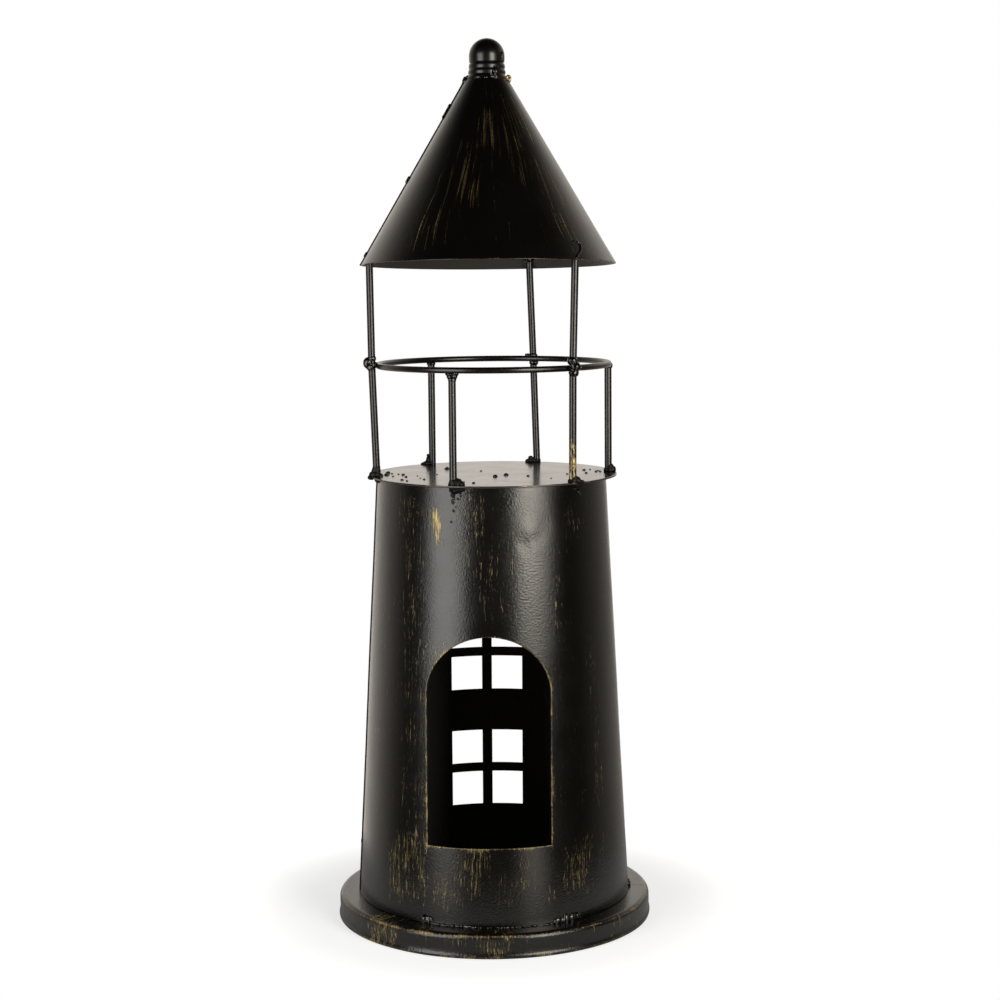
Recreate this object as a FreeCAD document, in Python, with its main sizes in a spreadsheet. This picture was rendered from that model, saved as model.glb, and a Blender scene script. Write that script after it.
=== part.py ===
# Lighthouse garden ornament, a candle lantern of painted sheet and wire.
# Lengths are millimetres and angles are degrees. Z points up, the origin is the middle of
# the base pan's underside, and the door looks along -Y. Every joint on it is a weld.
import FreeCAD, Part
import math
import os
import re

import PartDesign  # brings in the body features used below
import Sketcher

# Driving sizes: name, value, what it is.
SIZES = (
    ("base_skirt_radius", 89.4, "outside of the base pan's skirt"),
    ("base_lip_out", 0.6, "how far the lip at the bottom stands out from the skirt"),
    ("base_lip_height", 2.0, "height of that lip"),
    ("base_tall", 13.3, "base pan from the ground to the candle floor"),
    ("base_sheet", 1.0, "sheet of the base pan"),
    ("base_shoulder", 3.0, "pressed bend between skirt and candle floor"),
    ("tower_inset", 11.9, "base pan's skirt to the outside of the tower's foot"),
    ("tower_tall", 239.7, "tower from the candle floor to the gallery"),
    ("tower_sheet", 0.8, "sheet of the tower"),
    ("tower_lap_start", 169.0, "plan angle where the tower's outer lap starts"),
    ("tower_lap_turn", 13.0, "plan angle that the lap covers"),
    ("door_middle", -2.3, "door middle, to the right of the axis"),
    ("door_width", 68.0, "door across"),
    ("door_sill", 56.7, "door sill above the ground"),
    ("door_spring", 138.9, "height where the door's round head starts"),
    ("window_middle", -4.0, "window middle, to the right of the axis"),
    ("window_sill", 42.8, "sill of the lower window above the ground"),
    ("window_step", 72.5, "lower window sill to upper window sill"),
    ("pane_width", 18.5, "one window pane across"),
    ("pane_tall", 20.6, "one window pane high"),
    ("bar_width", 6.0, "upright bar between two panes"),
    ("bar_tall", 5.5, "level bar between two panes"),
    ("deck_radius", 69.6, "gallery deck"),
    ("deck_overhang", 5.0, "outside of the tower's neck to the edge of the deck"),
    ("deck_sheet", 1.0, "sheet of the gallery deck"),
    ("deck_shift", 1.8, "deck middle, to the right of the axis"),
    ("ring_inset", 4.6, "edge of the deck to the middle of the ring's wire"),
    ("ring_wire", 3.4, "wire of the gallery ring"),
    ("ring_rise", 61.7, "deck to the middle of the ring's wire"),
    ("ring_shift", 2.1, "ring middle, to the right of the axis"),
    ("post_wire", 4.1, "wire of the six posts"),
    ("weld_gap", 0.2, "gap that a weld fills between two wires"),
    ("left_turn", 191.0, "plan angle of the tall post on the left"),
    ("left_foot_across", 1.8, "its foot, to the right of its place at the ring"),
    ("left_foot_deep", 1.1, "its foot, behind its place at the ring"),
    ("left_top_across", -0.8, "its top, to the right of its place at the ring"),
    ("left_top_deep", 2.0, "its top, behind its place at the ring"),
    ("back_turn", 70.0, "plan angle of the tall post at the back"),
    ("back_foot_across", 1.7, "its foot, to the right of its place at the ring"),
    ("back_foot_deep", -2.4, "its foot, behind its place at the ring"),
    ("back_top_across", -2.5, "its top, to the right of its place at the ring"),
    ("back_top_deep", -2.5, "its top, behind its place at the ring"),
    ("front_turn", 308.5, "plan angle of the tall post at the front"),
    ("front_foot_across", -0.3, "its foot, to the right of its place at the ring"),
    ("front_foot_deep", 2.3, "its foot, behind its place at the ring"),
    ("front_top_across", 2.0, "its top, to the right of its place at the ring"),
    ("front_top_deep", 5.3, "its top, behind its place at the ring"),
    ("back_left_turn", 124.4, "plan angle of the short post at the back left"),
    ("front_left_turn", 250.2, "plan angle of the short post at the front left"),
    ("right_turn", 4.0, "plan angle of the short post on the right"),
    ("roof_rise", 117.5, "deck to the middle of the roof's rim"),
    ("roof_overhang", 6.5, "middle of the ring's wire to the outside of the roof's rim"),
    ("roof_top_radius", 12.0, "outside of the roof at its open top"),
    ("roof_tall", 102.0, "roof from rim to open top"),
    ("roof_sheet", 0.8, "sheet of the roof"),
    ("roof_tilt", 2.6, "roof leaning back, front rim up"),
    ("roof_lap_start", 172.0, "plan angle where the roof's outer lap starts"),
    ("roof_lap_turn", 11.0, "plan angle that the lap covers"),
    ("collar_inset", 0.6, "outside of the roof's open top to the collar that sits on it"),
    ("collar_step", 0.3, "how much smaller the collar's lowest ridge is than its foot"),
    ("collar_tall", 9.7, "finial collar above the roof"),
    ("collar_draw", 0.5, "how much smaller each ridge is than the one below"),
    ("collar_groove", 0.55, "depth of the grooves between the ridges"),
    ("plug_deep", 3.0, "collar's plug down inside the roof"),
    ("plug_fit", 0.1, "room around that plug"),
    ("ball_radius", 9.95, "finial ball"),
    ("ball_seat", 20.6, "angle below the ball's middle of its flat seat"),
    ("foot_drop", 1.7, "weld drops where tower and base meet"),
    ("deck_drop", 3.4, "weld drops at the feet of the posts"),
    ("edge_drop", 2.2, "weld drops under the edge of the deck"),
    ("ring_drop", 3.1, "weld drops where posts and ring meet"),
    ("roof_drop", 3.0, "weld drops where posts meet the roof inside"),
    ("burn_drop", 1.1, "drops of the weld burnt through the roof"),
    ("finial_drop", 1.7, "weld drops around the finial collar"),
    ("tack_drop", 1.1, "tack welds on the lap seams"),
    ("overrun", 6.0, "how far cutting shapes run past what they cut"),
)
NAMES = {name for name, number, note in SIZES}

# Radii, heights and distances that follow from the driving sizes.
LIP_RADIUS = "(base_skirt_radius + base_lip_out)"
FOOT_RADIUS = "(base_skirt_radius - tower_inset)"
NECK_RADIUS = "(deck_radius - deck_overhang)"
RING_RADIUS = "(deck_radius - ring_inset)"
RIM_RADIUS = f"({RING_RADIUS} + roof_overhang)"
COLLAR_RADIUS = "(roof_top_radius - collar_inset)"
DECK_UNDER = "(base_tall + tower_tall)"
DECK_TOP = f"({DECK_UNDER} + deck_sheet)"
RING_HEIGHT = f"({DECK_TOP} + ring_rise)"
RIM_HEIGHT = f"({DECK_TOP} + roof_rise)"
ROOF_SLOPE = f"(({RIM_RADIUS} - roof_top_radius) / roof_tall)"
ROOF_LEVEL_SHEET = f"(roof_sheet * sqrt(1 + {ROOF_SLOPE} ^ 2))"
ROOF_RIM_INSIDE = f"({RIM_RADIUS} - {ROOF_LEVEL_SHEET})"
ROOF_TOP_INSIDE = f"(roof_top_radius - {ROOF_LEVEL_SHEET})"
TALL_REACH = f"({RING_RADIUS} + (ring_wire + post_wire) / 2 + weld_gap)"
TOP_REACH = f"(({ROOF_RIM_INSIDE} - {TALL_REACH} + post_wire) / {ROOF_SLOPE} + overrun)"
SHORT_TALL = "(ring_rise - ring_wire / 2 - weld_gap)"

TALL_POSTS = ("left", "back", "front")
SHORT_POSTS = ("back_left", "front_left", "right")

# Weld runs around the tower's foot: first and last plan angle, number of drops, size share.
FOOT_RUN_SHARES = (
    (240.5, 243.5, 3, 1.3),
    (244.5, 262.0, 14, 0.7),
    (294.5, 297.5, 3, 0.9),
    (301.0, 306.0, 4, 1.35),
    (359.5, 361.0, 2, 1.0),
)
# Weld drops, as shares of the drop's radius: post, outward, sideways, up, size.
DECK_DROP_SHARES = (
    ("left", 0.0, 0.0, 0.0, 1.15),
    ("left", 0.3, -0.6, 0.1, 0.8),
    ("back_left", 0.0, 0.0, 0.0, 0.95),
    ("back_left", 0.0, 0.9, 0.0, 0.8),
    ("front_left", 0.0, 0.0, 0.0, 1.0),
    ("front_left", 0.2, 0.95, 0.1, 0.85),
    ("front_left", 0.3, -0.6, -0.1, 0.7),
    ("back", 0.0, 0.0, 0.0, 0.95),
    ("back", 0.0, 0.85, 0.0, 0.75),
    ("front", 0.0, 0.0, 0.1, 1.05),
    ("front", -0.2, 0.75, 0.3, 0.7),
    ("right", 0.0, 0.0, 0.1, 1.05),
    ("right", 0.2, -0.5, 0.2, 0.7),
)
RING_DROP_SHARES = (
    ("left", 1.5, 0.0, 0.0, 1.05),
    ("left", 0.2, -0.3, -0.2, 0.95),
    ("back", 0.3, 0.0, 0.8, 0.8),
    ("back", 0.3, 0.1, -0.7, 0.85),
    ("front", 0.4, 0.0, 0.9, 1.0),
    ("front", 0.5, 0.1, -0.1, 1.1),
    ("front", 0.4, 0.0, -1.2, 0.95),
    ("front", 0.4, 1.5, 0.3, 0.5),
    ("back_left", 0.0, 0.1, -0.5, 0.85),
    ("front_left", 0.1, -0.9, -0.5, 0.8),
    ("front_left", 0.1, 0.9, -0.4, 0.75),
    ("front_left", 0.1, 0.0, -1.0, 0.85),
    ("right", 0.1, 0.2, -0.5, 0.85),
    ("right", 0.6, 0.1, -0.4, 0.6),
)
# Drops under the deck's edge: post, plan angle from it, inward share, size share.
EDGE_DROP_SHARES = (
    ("front_left", 0.6, 0.9, 1.0),
    ("front_left", 3.0, 0.9, 0.75),
    ("front", -1.6, 0.9, 0.85),
    ("front", 1.6, 0.9, 0.85),
    ("left", 0.0, 0.9, 0.8),
)
# The worm of weld burnt through the roof: its ends as a plan angle from the front post and a
# share of the roof's height, how far it bows sideways in degrees, and its number of drops.
BURN_START_SHARES = (4.4, 0.022)
BURN_END_SHARES = (3.2, 0.115)
BURN_BOW = 2.2
BURN_COUNT = 10
# Drops around the finial: plan angle, outward share, up share, size share.
FINIAL_DROP_SHARES = (
    (182, 0.2, 0.2, 1.1),
    (176, 0.3, -0.5, 0.8),
    (285, 0.0, 0.4, 0.9),
    (292, -0.1, 1.6, 0.8),
    (301, 0.0, 0.9, 0.6),
    (2, 0.3, 0.0, 0.9),
)
# Tacks on the lap seams: shares of the tower's and the roof's height.
TOWER_TACK_SHARE = 0.117
ROOF_TACK_SHARES = (0.84, 0.78, 0.46)
# Collar ridges, as shares of the collar's height: lower edge, crest and upper edge.
RIDGE_SHARES = ((0.24, 0.40, 0.52), (0.56, 0.65, 0.74), (0.78, 0.86, 0.93))

# Two places closer than this are the same.
SAME_PLACE = 1e-5

DOC = FreeCAD.newDocument("lighthouse_ornament")
SHEET = DOC.addObject("Spreadsheet::Sheet", "Sizes")
PARTS = []


def fill_sheet():
    """Write each driving size as a named cell with its note beside it."""
    for row, (name, number, note) in enumerate(SIZES, start=1):
        SHEET.set(f"A{row}", note)
        SHEET.set(f"B{row}", str(number))
        SHEET.setAlias(f"B{row}", name)
    DOC.recompute()


def formula(text):
    """Point the size names in a formula at the sheet."""
    return re.sub(r"[a-z_]+", lambda word: f"Sizes.{word[0]}" if word[0] in NAMES else word[0], text)


def value(text):
    return float(SHEET.evalExpression(formula(text)))


def bind(thing, **formulas):
    """Tie properties of an object to formulas."""
    for name, text in formulas.items():
        thing.setExpression(name, formula(text))
    return thing


def place(thing, across, deep, up):
    """Tie an object's place to three formulas."""
    for axis, text in zip("xyz", (across, deep, up)):
        thing.setExpression(f"Placement.Base.{axis}", formula(text))
    return thing


def on_roof(thing, up="0"):
    """Stand an object in the roof's own leaning frame, at a height above its rim."""
    back = FreeCAD.Rotation(FreeCAD.Vector(-1, 0, 0), value("roof_tilt"))
    thing.Placement = FreeCAD.Placement(FreeCAD.Vector(), back)
    thing.setExpression("Placement.Rotation.Angle", formula("roof_tilt"))
    return place(thing, "0", f"({up}) * sin(roof_tilt)", f"{RIM_HEIGHT} + ({up}) * cos(roof_tilt)")


def part(thing, name):
    """Keep a finished piece under its own name."""
    thing.Label = name
    PARTS.append(thing)
    return thing


def cut(base, tool, name):
    result = DOC.addObject("Part::Cut", name)
    result.Base = base
    result.Tool = tool
    return result


def around(middle, turn, reach, side="0"):
    """Across and deep formulas of a place at a plan angle, a reach and a sideways step."""
    across = f"{middle} + ({reach}) * cos({turn}) - ({side}) * sin({turn})"
    deep = f"({reach}) * sin({turn}) + ({side}) * cos({turn})"
    return across, deep


# Sketches.
def plane_of(body, role):
    return next(plane for plane in body.Origin.OriginFeatures if plane.Role == role)


def new_sketch(body, role, name):
    sketch = body.newObject("Sketcher::SketchObject", name)
    sketch.AttachmentSupport = [(plane_of(body, role), "")]
    sketch.MapMode = "FlatFace"
    return sketch


def tie_point(sketch, geometry, point, across, up):
    """Hold one point of a sketch at two formulas from the sketch's origin."""
    for kind, text in (("DistanceX", across), ("DistanceY", up)):
        hold = Sketcher.Constraint(kind, -1, 1, geometry, point, value(text))
        number = sketch.addConstraint(hold)
        sketch.setExpression(f"Constraints[{number}]", formula(text))


def outline(sketch, corners):
    """Draw a closed outline whose corners are pairs of formulas."""
    first = sketch.GeometryCount
    spots = [FreeCAD.Vector(value(across), value(up), 0) for across, up in corners]
    for start, end in zip(spots, spots[1:] + spots[:1]):
        sketch.addGeometry(Part.LineSegment(start, end))
    for step, (across, up) in enumerate(corners):
        before = first + (step - 1) % len(corners)
        sketch.addConstraint(Sketcher.Constraint("Coincident", before, 2, first + step, 1))
        tie_point(sketch, first + step, 1, across, up)


def box_corners(left, low, width, tall):
    right = f"{left} + {width}"
    high = f"{low} + {tall}"
    return (left, low), (right, low), (right, high), (left, high)


def turned(body, name, corners):
    """Turn an outline right round the upright axis."""
    sketch = new_sketch(body, "XZ_Plane", f"{name}_outline")
    outline(sketch, corners)
    turn = body.newObject("PartDesign::Revolution", name)
    turn.Profile = sketch
    turn.ReferenceAxis = (sketch, ["V_Axis"])
    return turn


def lapped(body, name, corners, start, angle):
    """Add the outer layer of a lap seam over part of the turn."""
    lap = turned(body, name, corners)
    up = FreeCAD.Vector(0, 1, 0)
    offset = FreeCAD.Placement(FreeCAD.Vector(), FreeCAD.Rotation(up, value(start)))
    lap.Profile[0].AttachmentOffset = offset
    lap.Profile[0].setExpression("AttachmentOffset.Rotation.Angle", formula(start))
    return bind(lap, Angle=angle)


def cut_through(body, sketch, name, to_front):
    """Cut a sketch through one side of the tower, and make sure that it cuts."""
    DOC.recompute()
    before = body.Shape.Volume
    pocket = body.newObject("PartDesign::Pocket", name)
    pocket.Profile = sketch
    pocket.Reversed = to_front
    bind(pocket, Length=f"{FOOT_RADIUS} + overrun")
    DOC.recompute()
    if body.Shape.Volume >= before:
        raise RuntimeError(f"{name} cuts nothing")


def edge_names(shape, radius, height):
    """Round edges of one radius at one height."""
    found = []
    for number, edge in enumerate(shape.Edges, start=1):
        middle = getattr(edge.Curve, "Center", None)
        if middle is None or edge.Curve.TypeId != "Part::GeomCircle":
            continue
        if abs(edge.Curve.Radius - radius) < SAME_PLACE and abs(middle.z - height) < SAME_PLACE:
            found.append(f"Edge{number}")
    return found


# Shells.
def make_base_pan():
    """A pressed pan, upside down: candle floor, rounded shoulder, skirt and lip."""
    body = DOC.addObject("PartDesign::Body", "base_pan")
    inside = "base_skirt_radius - base_sheet"
    under = "base_tall - base_sheet"
    corners = (("0", under), (inside, under), (inside, "0"), (LIP_RADIUS, "0"),
               (LIP_RADIUS, "base_lip_height"), ("base_skirt_radius", "base_lip_height"),
               ("base_skirt_radius", "base_tall"), ("0", "base_tall"))
    last = turned(body, "pan", corners)
    bends = (("outer_bend", "base_skirt_radius", "base_tall", "base_shoulder"),
             ("inner_bend", inside, under, "base_shoulder - base_sheet"))
    for name, radius, height, size in bends:
        DOC.recompute()
        bend = body.newObject("PartDesign::Fillet", name)
        bend.Base = (last, edge_names(last.Shape, value(radius), value(height)))
        last = bind(bend, Radius=size)
    return part(body, "base_pan")


def make_tower_shell():
    """A rolled cone of sheet with a lap seam, an arched door and two windows behind it."""
    body = DOC.addObject("PartDesign::Body", "tower_shell")
    turned(body, "wall", (
        (f"{FOOT_RADIUS} - tower_sheet", "base_tall"), (FOOT_RADIUS, "base_tall"),
        (NECK_RADIUS, DECK_UNDER), (f"{NECK_RADIUS} - tower_sheet", DECK_UNDER)))
    lapped(body, "lap", (
        (f"{FOOT_RADIUS} - tower_sheet / 2", "base_tall"),
        (f"{FOOT_RADIUS} + tower_sheet", "base_tall"),
        (f"{NECK_RADIUS} + tower_sheet", DECK_UNDER),
        (f"{NECK_RADIUS} - tower_sheet / 2", DECK_UNDER)), "tower_lap_start", "tower_lap_turn")

    leaf = new_sketch(body, "XZ_Plane", "door_leaf_outline")
    outline(leaf, box_corners("door_middle - door_width / 2", "door_sill",
                              "door_width", "door_spring - door_sill"))
    cut_through(body, leaf, "door_leaf", True)
    head = new_sketch(body, "XZ_Plane", "door_head_outline")
    middle = FreeCAD.Vector(value("door_middle"), value("door_spring"), 0)
    head.addGeometry(Part.Circle(middle, FreeCAD.Vector(0, 0, 1), value("door_width / 2")))
    tie_point(head, 0, 3, "door_middle", "door_spring")
    round_head = head.addConstraint(Sketcher.Constraint("Radius", 0, value("door_width / 2")))
    head.setExpression(f"Constraints[{round_head}]", formula("door_width / 2"))
    cut_through(body, head, "door_head", True)

    panes = new_sketch(body, "XZ_Plane", "window_outlines")
    for window in range(2):
        for row in range(2):
            low = f"window_sill + {window} * window_step + {row} * (pane_tall + bar_tall)"
            for left in ("window_middle - bar_width / 2 - pane_width", "window_middle + bar_width / 2"):
                outline(panes, box_corners(left, low, "pane_width", "pane_tall"))
    cut_through(body, panes, "windows", False)
    return part(body, "tower_shell")


def make_roof_cone():
    """A rolled cone with a lap seam, open at the top where the finial plugs in."""
    body = DOC.addObject("PartDesign::Body", "roof_cone")
    turned(body, "wall", (
        (ROOF_RIM_INSIDE, "0"), (RIM_RADIUS, "0"),
        ("roof_top_radius", "roof_tall"), (ROOF_TOP_INSIDE, "roof_tall")))
    lapped(body, "lap", (
        (f"{RIM_RADIUS} - {ROOF_LEVEL_SHEET} / 2", "0"),
        (f"{RIM_RADIUS} + {ROOF_LEVEL_SHEET}", "0"),
        (f"roof_top_radius + {ROOF_LEVEL_SHEET}", "roof_tall"),
        (f"roof_top_radius - {ROOF_LEVEL_SHEET} / 2", "roof_tall")), "roof_lap_start", "roof_lap_turn")
    return part(on_roof(body), "roof_cone")


def make_roof_trim():
    """Everything above the rim that lies outside the roof's hollow, to trim what ends there."""
    block = bind(DOC.addObject("Part::Cylinder", "roof_block"),
                 Radius=f"{RIM_RADIUS} + overrun", Height="roof_tall")
    hollow = bind(DOC.addObject("Part::Cone", "roof_hollow"),
                  Radius1=ROOF_RIM_INSIDE, Radius2=ROOF_TOP_INSIDE, Height="roof_tall")
    return cut(on_roof(block), on_roof(hollow), "roof_trim")


def make_finial():
    """A turned collar of three ridges that plugs into the roof, and a ball on top of it."""
    body = DOC.addObject("PartDesign::Body", "finial_collar")
    plug = f"{ROOF_TOP_INSIDE} - plug_fit"
    corners = [("0", "-plug_deep"), (plug, "-plug_deep"), (plug, "0"), (COLLAR_RADIUS, "0")]
    for step, (low, crest, high) in enumerate(RIDGE_SHARES):
        ridge = f"{COLLAR_RADIUS} - collar_step - {step} * collar_draw"
        corners.append((f"{ridge} - collar_groove", f"{low} * collar_tall"))
        corners.append((ridge, f"{crest} * collar_tall"))
        corners.append((f"{ridge} - collar_groove", f"{high} * collar_tall"))
    corners.append((f"{ridge} - collar_groove", "collar_tall"))
    corners.append(("0", "collar_tall"))
    turned(body, "turning", corners)
    part(on_roof(body, "roof_tall"), "finial_collar")
    ball = bind(DOC.addObject("Part::Sphere", "finial_ball"), Radius="ball_radius", Angle1="-ball_seat")
    part(on_roof(ball, "roof_tall + collar_tall + ball_radius * sin(ball_seat)"), "finial_ball")
    return body


# Wires.
def make_deck():
    deck = bind(DOC.addObject("Part::Cylinder", "gallery_deck"),
                Radius="deck_radius", Height="deck_sheet")
    return part(place(deck, "deck_shift", "0", DECK_UNDER), "gallery_deck")


def make_ring():
    ring = bind(DOC.addObject("Part::Torus", "gallery_ring"),
                Radius1=RING_RADIUS, Radius2="ring_wire / 2")
    return part(place(ring, "ring_shift", "0", RING_HEIGHT), "gallery_ring")


def make_tall_post(side, trim):
    """A wire from the deck past the outside of the ring and up into the roof, bent at the ring."""
    across, deep = around("ring_shift", f"{side}_turn", TALL_REACH)
    high = f"{RIM_HEIGHT} + {TOP_REACH}"
    levels = (
        ("foot", f"{across} + {side}_foot_across", f"{deep} + {side}_foot_deep", DECK_TOP),
        ("knee", across, deep, RING_HEIGHT),
        ("top", f"{across} + {side}_top_across", f"{deep} + {side}_top_deep", high))
    rounds = []
    for level, x, y, z in levels:
        ring = bind(DOC.addObject("Part::Circle", f"{side}_{level}"), Radius="post_wire / 2")
        rounds.append(place(ring, x, y, z))
    wire = DOC.addObject("Part::Loft", f"{side}_wire")
    wire.Sections = rounds
    wire.Solid = True
    wire.Ruled = True
    return part(cut(wire, trim, f"{side}_post"), f"tall_post_{side}")


def make_short_post(side):
    """A wire from the deck to the underside of the ring."""
    post = bind(DOC.addObject("Part::Cylinder", f"{side}_post"),
                Radius="post_wire / 2", Height=SHORT_TALL)
    across, deep = around("ring_shift", f"{side}_turn", RING_RADIUS)
    return part(place(post, across, deep, DECK_TOP), f"short_post_{side}")


# Welds.
def make_tower_core():
    """The tower's hollow and its wall as one block, to keep outside drops outside."""
    core = bind(DOC.addObject("Part::Cone", "tower_core"),
                Radius1=FOOT_RADIUS, Radius2=NECK_RADIUS, Height="tower_tall")
    return place(core, "0", "0", "base_tall")


def make_roof_fill():
    """The roof's hollow and its sheet as one block."""
    fill = bind(DOC.addObject("Part::Cone", "roof_fill"),
                Radius1=RIM_RADIUS, Radius2="roof_top_radius", Height="roof_tall")
    return on_roof(fill)


def drop(name, size, across, deep, up):
    """A ball of weld at three formulas."""
    ball = bind(DOC.addObject("Part::Sphere", f"{name}_drop"), Radius=size)
    return place(ball, across, deep, up)


def weld(name, drops, neighbours, on_the_roof=False):
    """Melt drops together where they meet, and end them flush on the pieces that they join."""
    group = drops[0]
    if len(drops) > 1:
        group = DOC.addObject("Part::MultiFuse", f"{name}_melt")
        group.Shapes = drops
    if on_the_roof:
        on_roof(group)
    for neighbour in neighbours:
        group = cut(group, neighbour, f"{name}_trim")
    return part(group, name)


def foot_place(side):
    """Where a post's foot stands on the deck."""
    if side in SHORT_POSTS:
        return around("ring_shift", f"{side}_turn", RING_RADIUS)
    across, deep = around("ring_shift", f"{side}_turn", TALL_REACH)
    return f"{across} + {side}_foot_across", f"{deep} + {side}_foot_deep"


def make_foot_welds(tower, core):
    """Runs of drops in the corner between the tower's foot and the candle floor."""
    drops = []
    for first, last, count, size in FOOT_RUN_SHARES:
        for step in range(count):
            turn = first + (last - first) * step / (count - 1)
            across, deep = around("0", turn, f"{FOOT_RADIUS} + {size} * foot_drop / 4")
            drops.append(drop("foot", f"{size} * foot_drop", across, deep, "base_tall"))
    below = bind(DOC.addObject("Part::Cylinder", "below_floor"),
                 Radius="base_skirt_radius", Height="base_tall")
    weld("foot_weld_beads", drops, (below, core, tower))


def make_deck_welds(posts):
    """Drops on top of the deck, around the foot of every post."""
    drops = []
    for side, outward, sideways, up, size in DECK_DROP_SHARES:
        across, deep = foot_place(side)
        step_across, step_deep = around("0", f"{side}_turn", f"{outward} * deck_drop",
                                        f"{sideways} * deck_drop")
        drops.append(drop("deck", f"{size} * deck_drop", f"{across} + {step_across}",
                          f"{deep} + {step_deep}", f"{DECK_TOP} + {up} * deck_drop"))
    below = bind(DOC.addObject("Part::Cylinder", "below_deck"),
                 Radius="deck_radius + 2 * overrun", Height="2 * overrun")
    place(below, "deck_shift", "0", f"{DECK_TOP} - 2 * overrun")
    weld("deck_weld_beads", drops, [below] + posts)


def make_edge_welds(tower):
    """Drops in the corner between the tower's neck and the underside of the deck."""
    drops = []
    for side, turn, inward, size in EDGE_DROP_SHARES:
        reach = f"deck_radius - {inward} * edge_drop"
        across, deep = around("deck_shift", f"({side}_turn + {turn})", reach)
        drops.append(drop("edge", f"{size} * edge_drop", across, deep, f"{DECK_UNDER} - edge_drop / 6"))
    above = bind(DOC.addObject("Part::Cylinder", "above_deck"),
                 Radius="deck_radius + 2 * overrun", Height="2 * overrun")
    place(above, "deck_shift", "0", DECK_UNDER)
    weld("edge_weld_beads", drops, (above, tower))


def make_ring_welds(ring, posts):
    """Drops around the ring where the posts meet it."""
    drops = []
    for side, outward, sideways, up, size in RING_DROP_SHARES:
        reach = RING_RADIUS if side in SHORT_POSTS else f"({RING_RADIUS} + {TALL_REACH}) / 2"
        across, deep = around("ring_shift", f"{side}_turn", f"{reach} + {outward} * ring_drop",
                              f"{sideways} * ring_drop")
        height = f"{RING_HEIGHT} + {up} * ring_drop"
        if side in SHORT_POSTS:
            height += " - ring_wire / 2"
        drops.append(drop("ring", f"{size} * ring_drop", across, deep, height))
    weld("ring_weld_beads", drops, [ring] + posts)


def make_roof_welds(trim, posts):
    """Drops inside the roof at the top of the three tall posts."""
    drops = []
    for side in TALL_POSTS:
        across, deep = around("ring_shift", f"{side}_turn", TALL_REACH)
        x = f"({across} + {side}_top_across)"
        y = f"({deep} + {side}_top_deep)"
        inward = f"({ROOF_RIM_INSIDE} - sqrt({x} ^ 2 + {y} ^ 2))"
        up = f"{RIM_HEIGHT} + {inward} / {ROOF_SLOPE} - {y} * sin(roof_tilt) - roof_drop / 3"
        drops.append(drop("roof", "roof_drop", x, y, up))
    weld("roof_weld_beads", drops, [trim] + posts)


def make_burn_weld(roof, fill):
    """The curved bead that the weld of the front post pushed out through the roof."""
    drops = []
    for step in range(BURN_COUNT):
        share = step / (BURN_COUNT - 1)
        turn, height = (a + (b - a) * share for a, b in zip(BURN_START_SHARES, BURN_END_SHARES))
        turn += BURN_BOW * math.sin(math.pi * share)
        reach = f"{RIM_RADIUS} - {height} * roof_tall * {ROOF_SLOPE} + burn_drop / 4"
        across, deep = around("0", f"(front_turn + {turn})", reach)
        drops.append(drop("burn", "burn_drop", across, deep, f"{height} * roof_tall"))
    weld("roof_burn_bead", drops, (fill, roof), on_the_roof=True)


def make_finial_welds(roof, fill, collar):
    """Drops between the finial's collar and the top of the roof."""
    drops = []
    for turn, outward, up, size in FINIAL_DROP_SHARES:
        across, deep = around("0", turn, f"{COLLAR_RADIUS} + {outward} * finial_drop")
        height = f"roof_tall + {up} * finial_drop"
        drops.append(drop("finial", f"{size} * finial_drop", across, deep, height))
    weld("finial_weld_beads", drops, (fill, roof, collar), on_the_roof=True)


def make_seam_tacks(tower, core, roof, fill):
    """Tacks on the outer edge of the two lap seams."""
    turn = "(tower_lap_start + tower_lap_turn)"
    draw_in = f"{TOWER_TACK_SHARE} * ({FOOT_RADIUS} - {NECK_RADIUS})"
    across, deep = around("0", turn, f"{FOOT_RADIUS} - {draw_in} + tower_sheet")
    up = f"base_tall + {TOWER_TACK_SHARE} * tower_tall"
    tower_tack = drop("tower_seam", "tack_drop", across, deep, up)
    weld("tower_seam_tack", [tower_tack], (core, tower))

    drops = []
    turn = "(roof_lap_start + roof_lap_turn)"
    for height in ROOF_TACK_SHARES:
        reach = f"{RIM_RADIUS} - {height} * roof_tall * {ROOF_SLOPE} + {ROOF_LEVEL_SHEET}"
        across, deep = around("0", turn, reach)
        drops.append(drop("roof_seam", "tack_drop", across, deep, f"{height} * roof_tall"))
    weld("roof_seam_tacks", drops, (fill, roof), on_the_roof=True)


def build():
    fill_sheet()
    make_base_pan()
    tower = make_tower_shell()
    make_deck()
    ring = make_ring()
    trim = make_roof_trim()
    tall_posts = [make_tall_post(side, trim) for side in TALL_POSTS]
    short_posts = [make_short_post(side) for side in SHORT_POSTS]
    roof = make_roof_cone()
    collar = make_finial()
    core = make_tower_core()
    fill = make_roof_fill()
    make_foot_welds(tower, core)
    make_deck_welds(tall_posts + short_posts)
    make_edge_welds(tower)
    make_ring_welds(ring, tall_posts + short_posts)
    make_roof_welds(trim, tall_posts)
    make_burn_weld(roof, fill)
    make_finial_welds(roof, fill, collar)
    make_seam_tacks(tower, core, roof, fill)
    DOC.recompute()


def check():
    """Stop if anything failed to build."""
    for thing in DOC.Objects:
        if {"Invalid", "Error"} & set(thing.State):
            raise RuntimeError(f"{thing.Label} failed: {thing.State}")
    for thing in PARTS:
        if thing.Shape.isNull() or not thing.Shape.isValid() or not thing.Shape.Solids:
            raise RuntimeError(f"{thing.Label} has no sound solid")


def write():
    os.makedirs("parts", exist_ok=True)
    for thing in PARTS:
        thing.Shape.exportStep(f"parts/{thing.Label}.step")
        print(f"{thing.Label}: {len(thing.Shape.Solids)} solids, {thing.Shape.Volume:.0f} cubic mm")


build()
check()
write()
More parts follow.
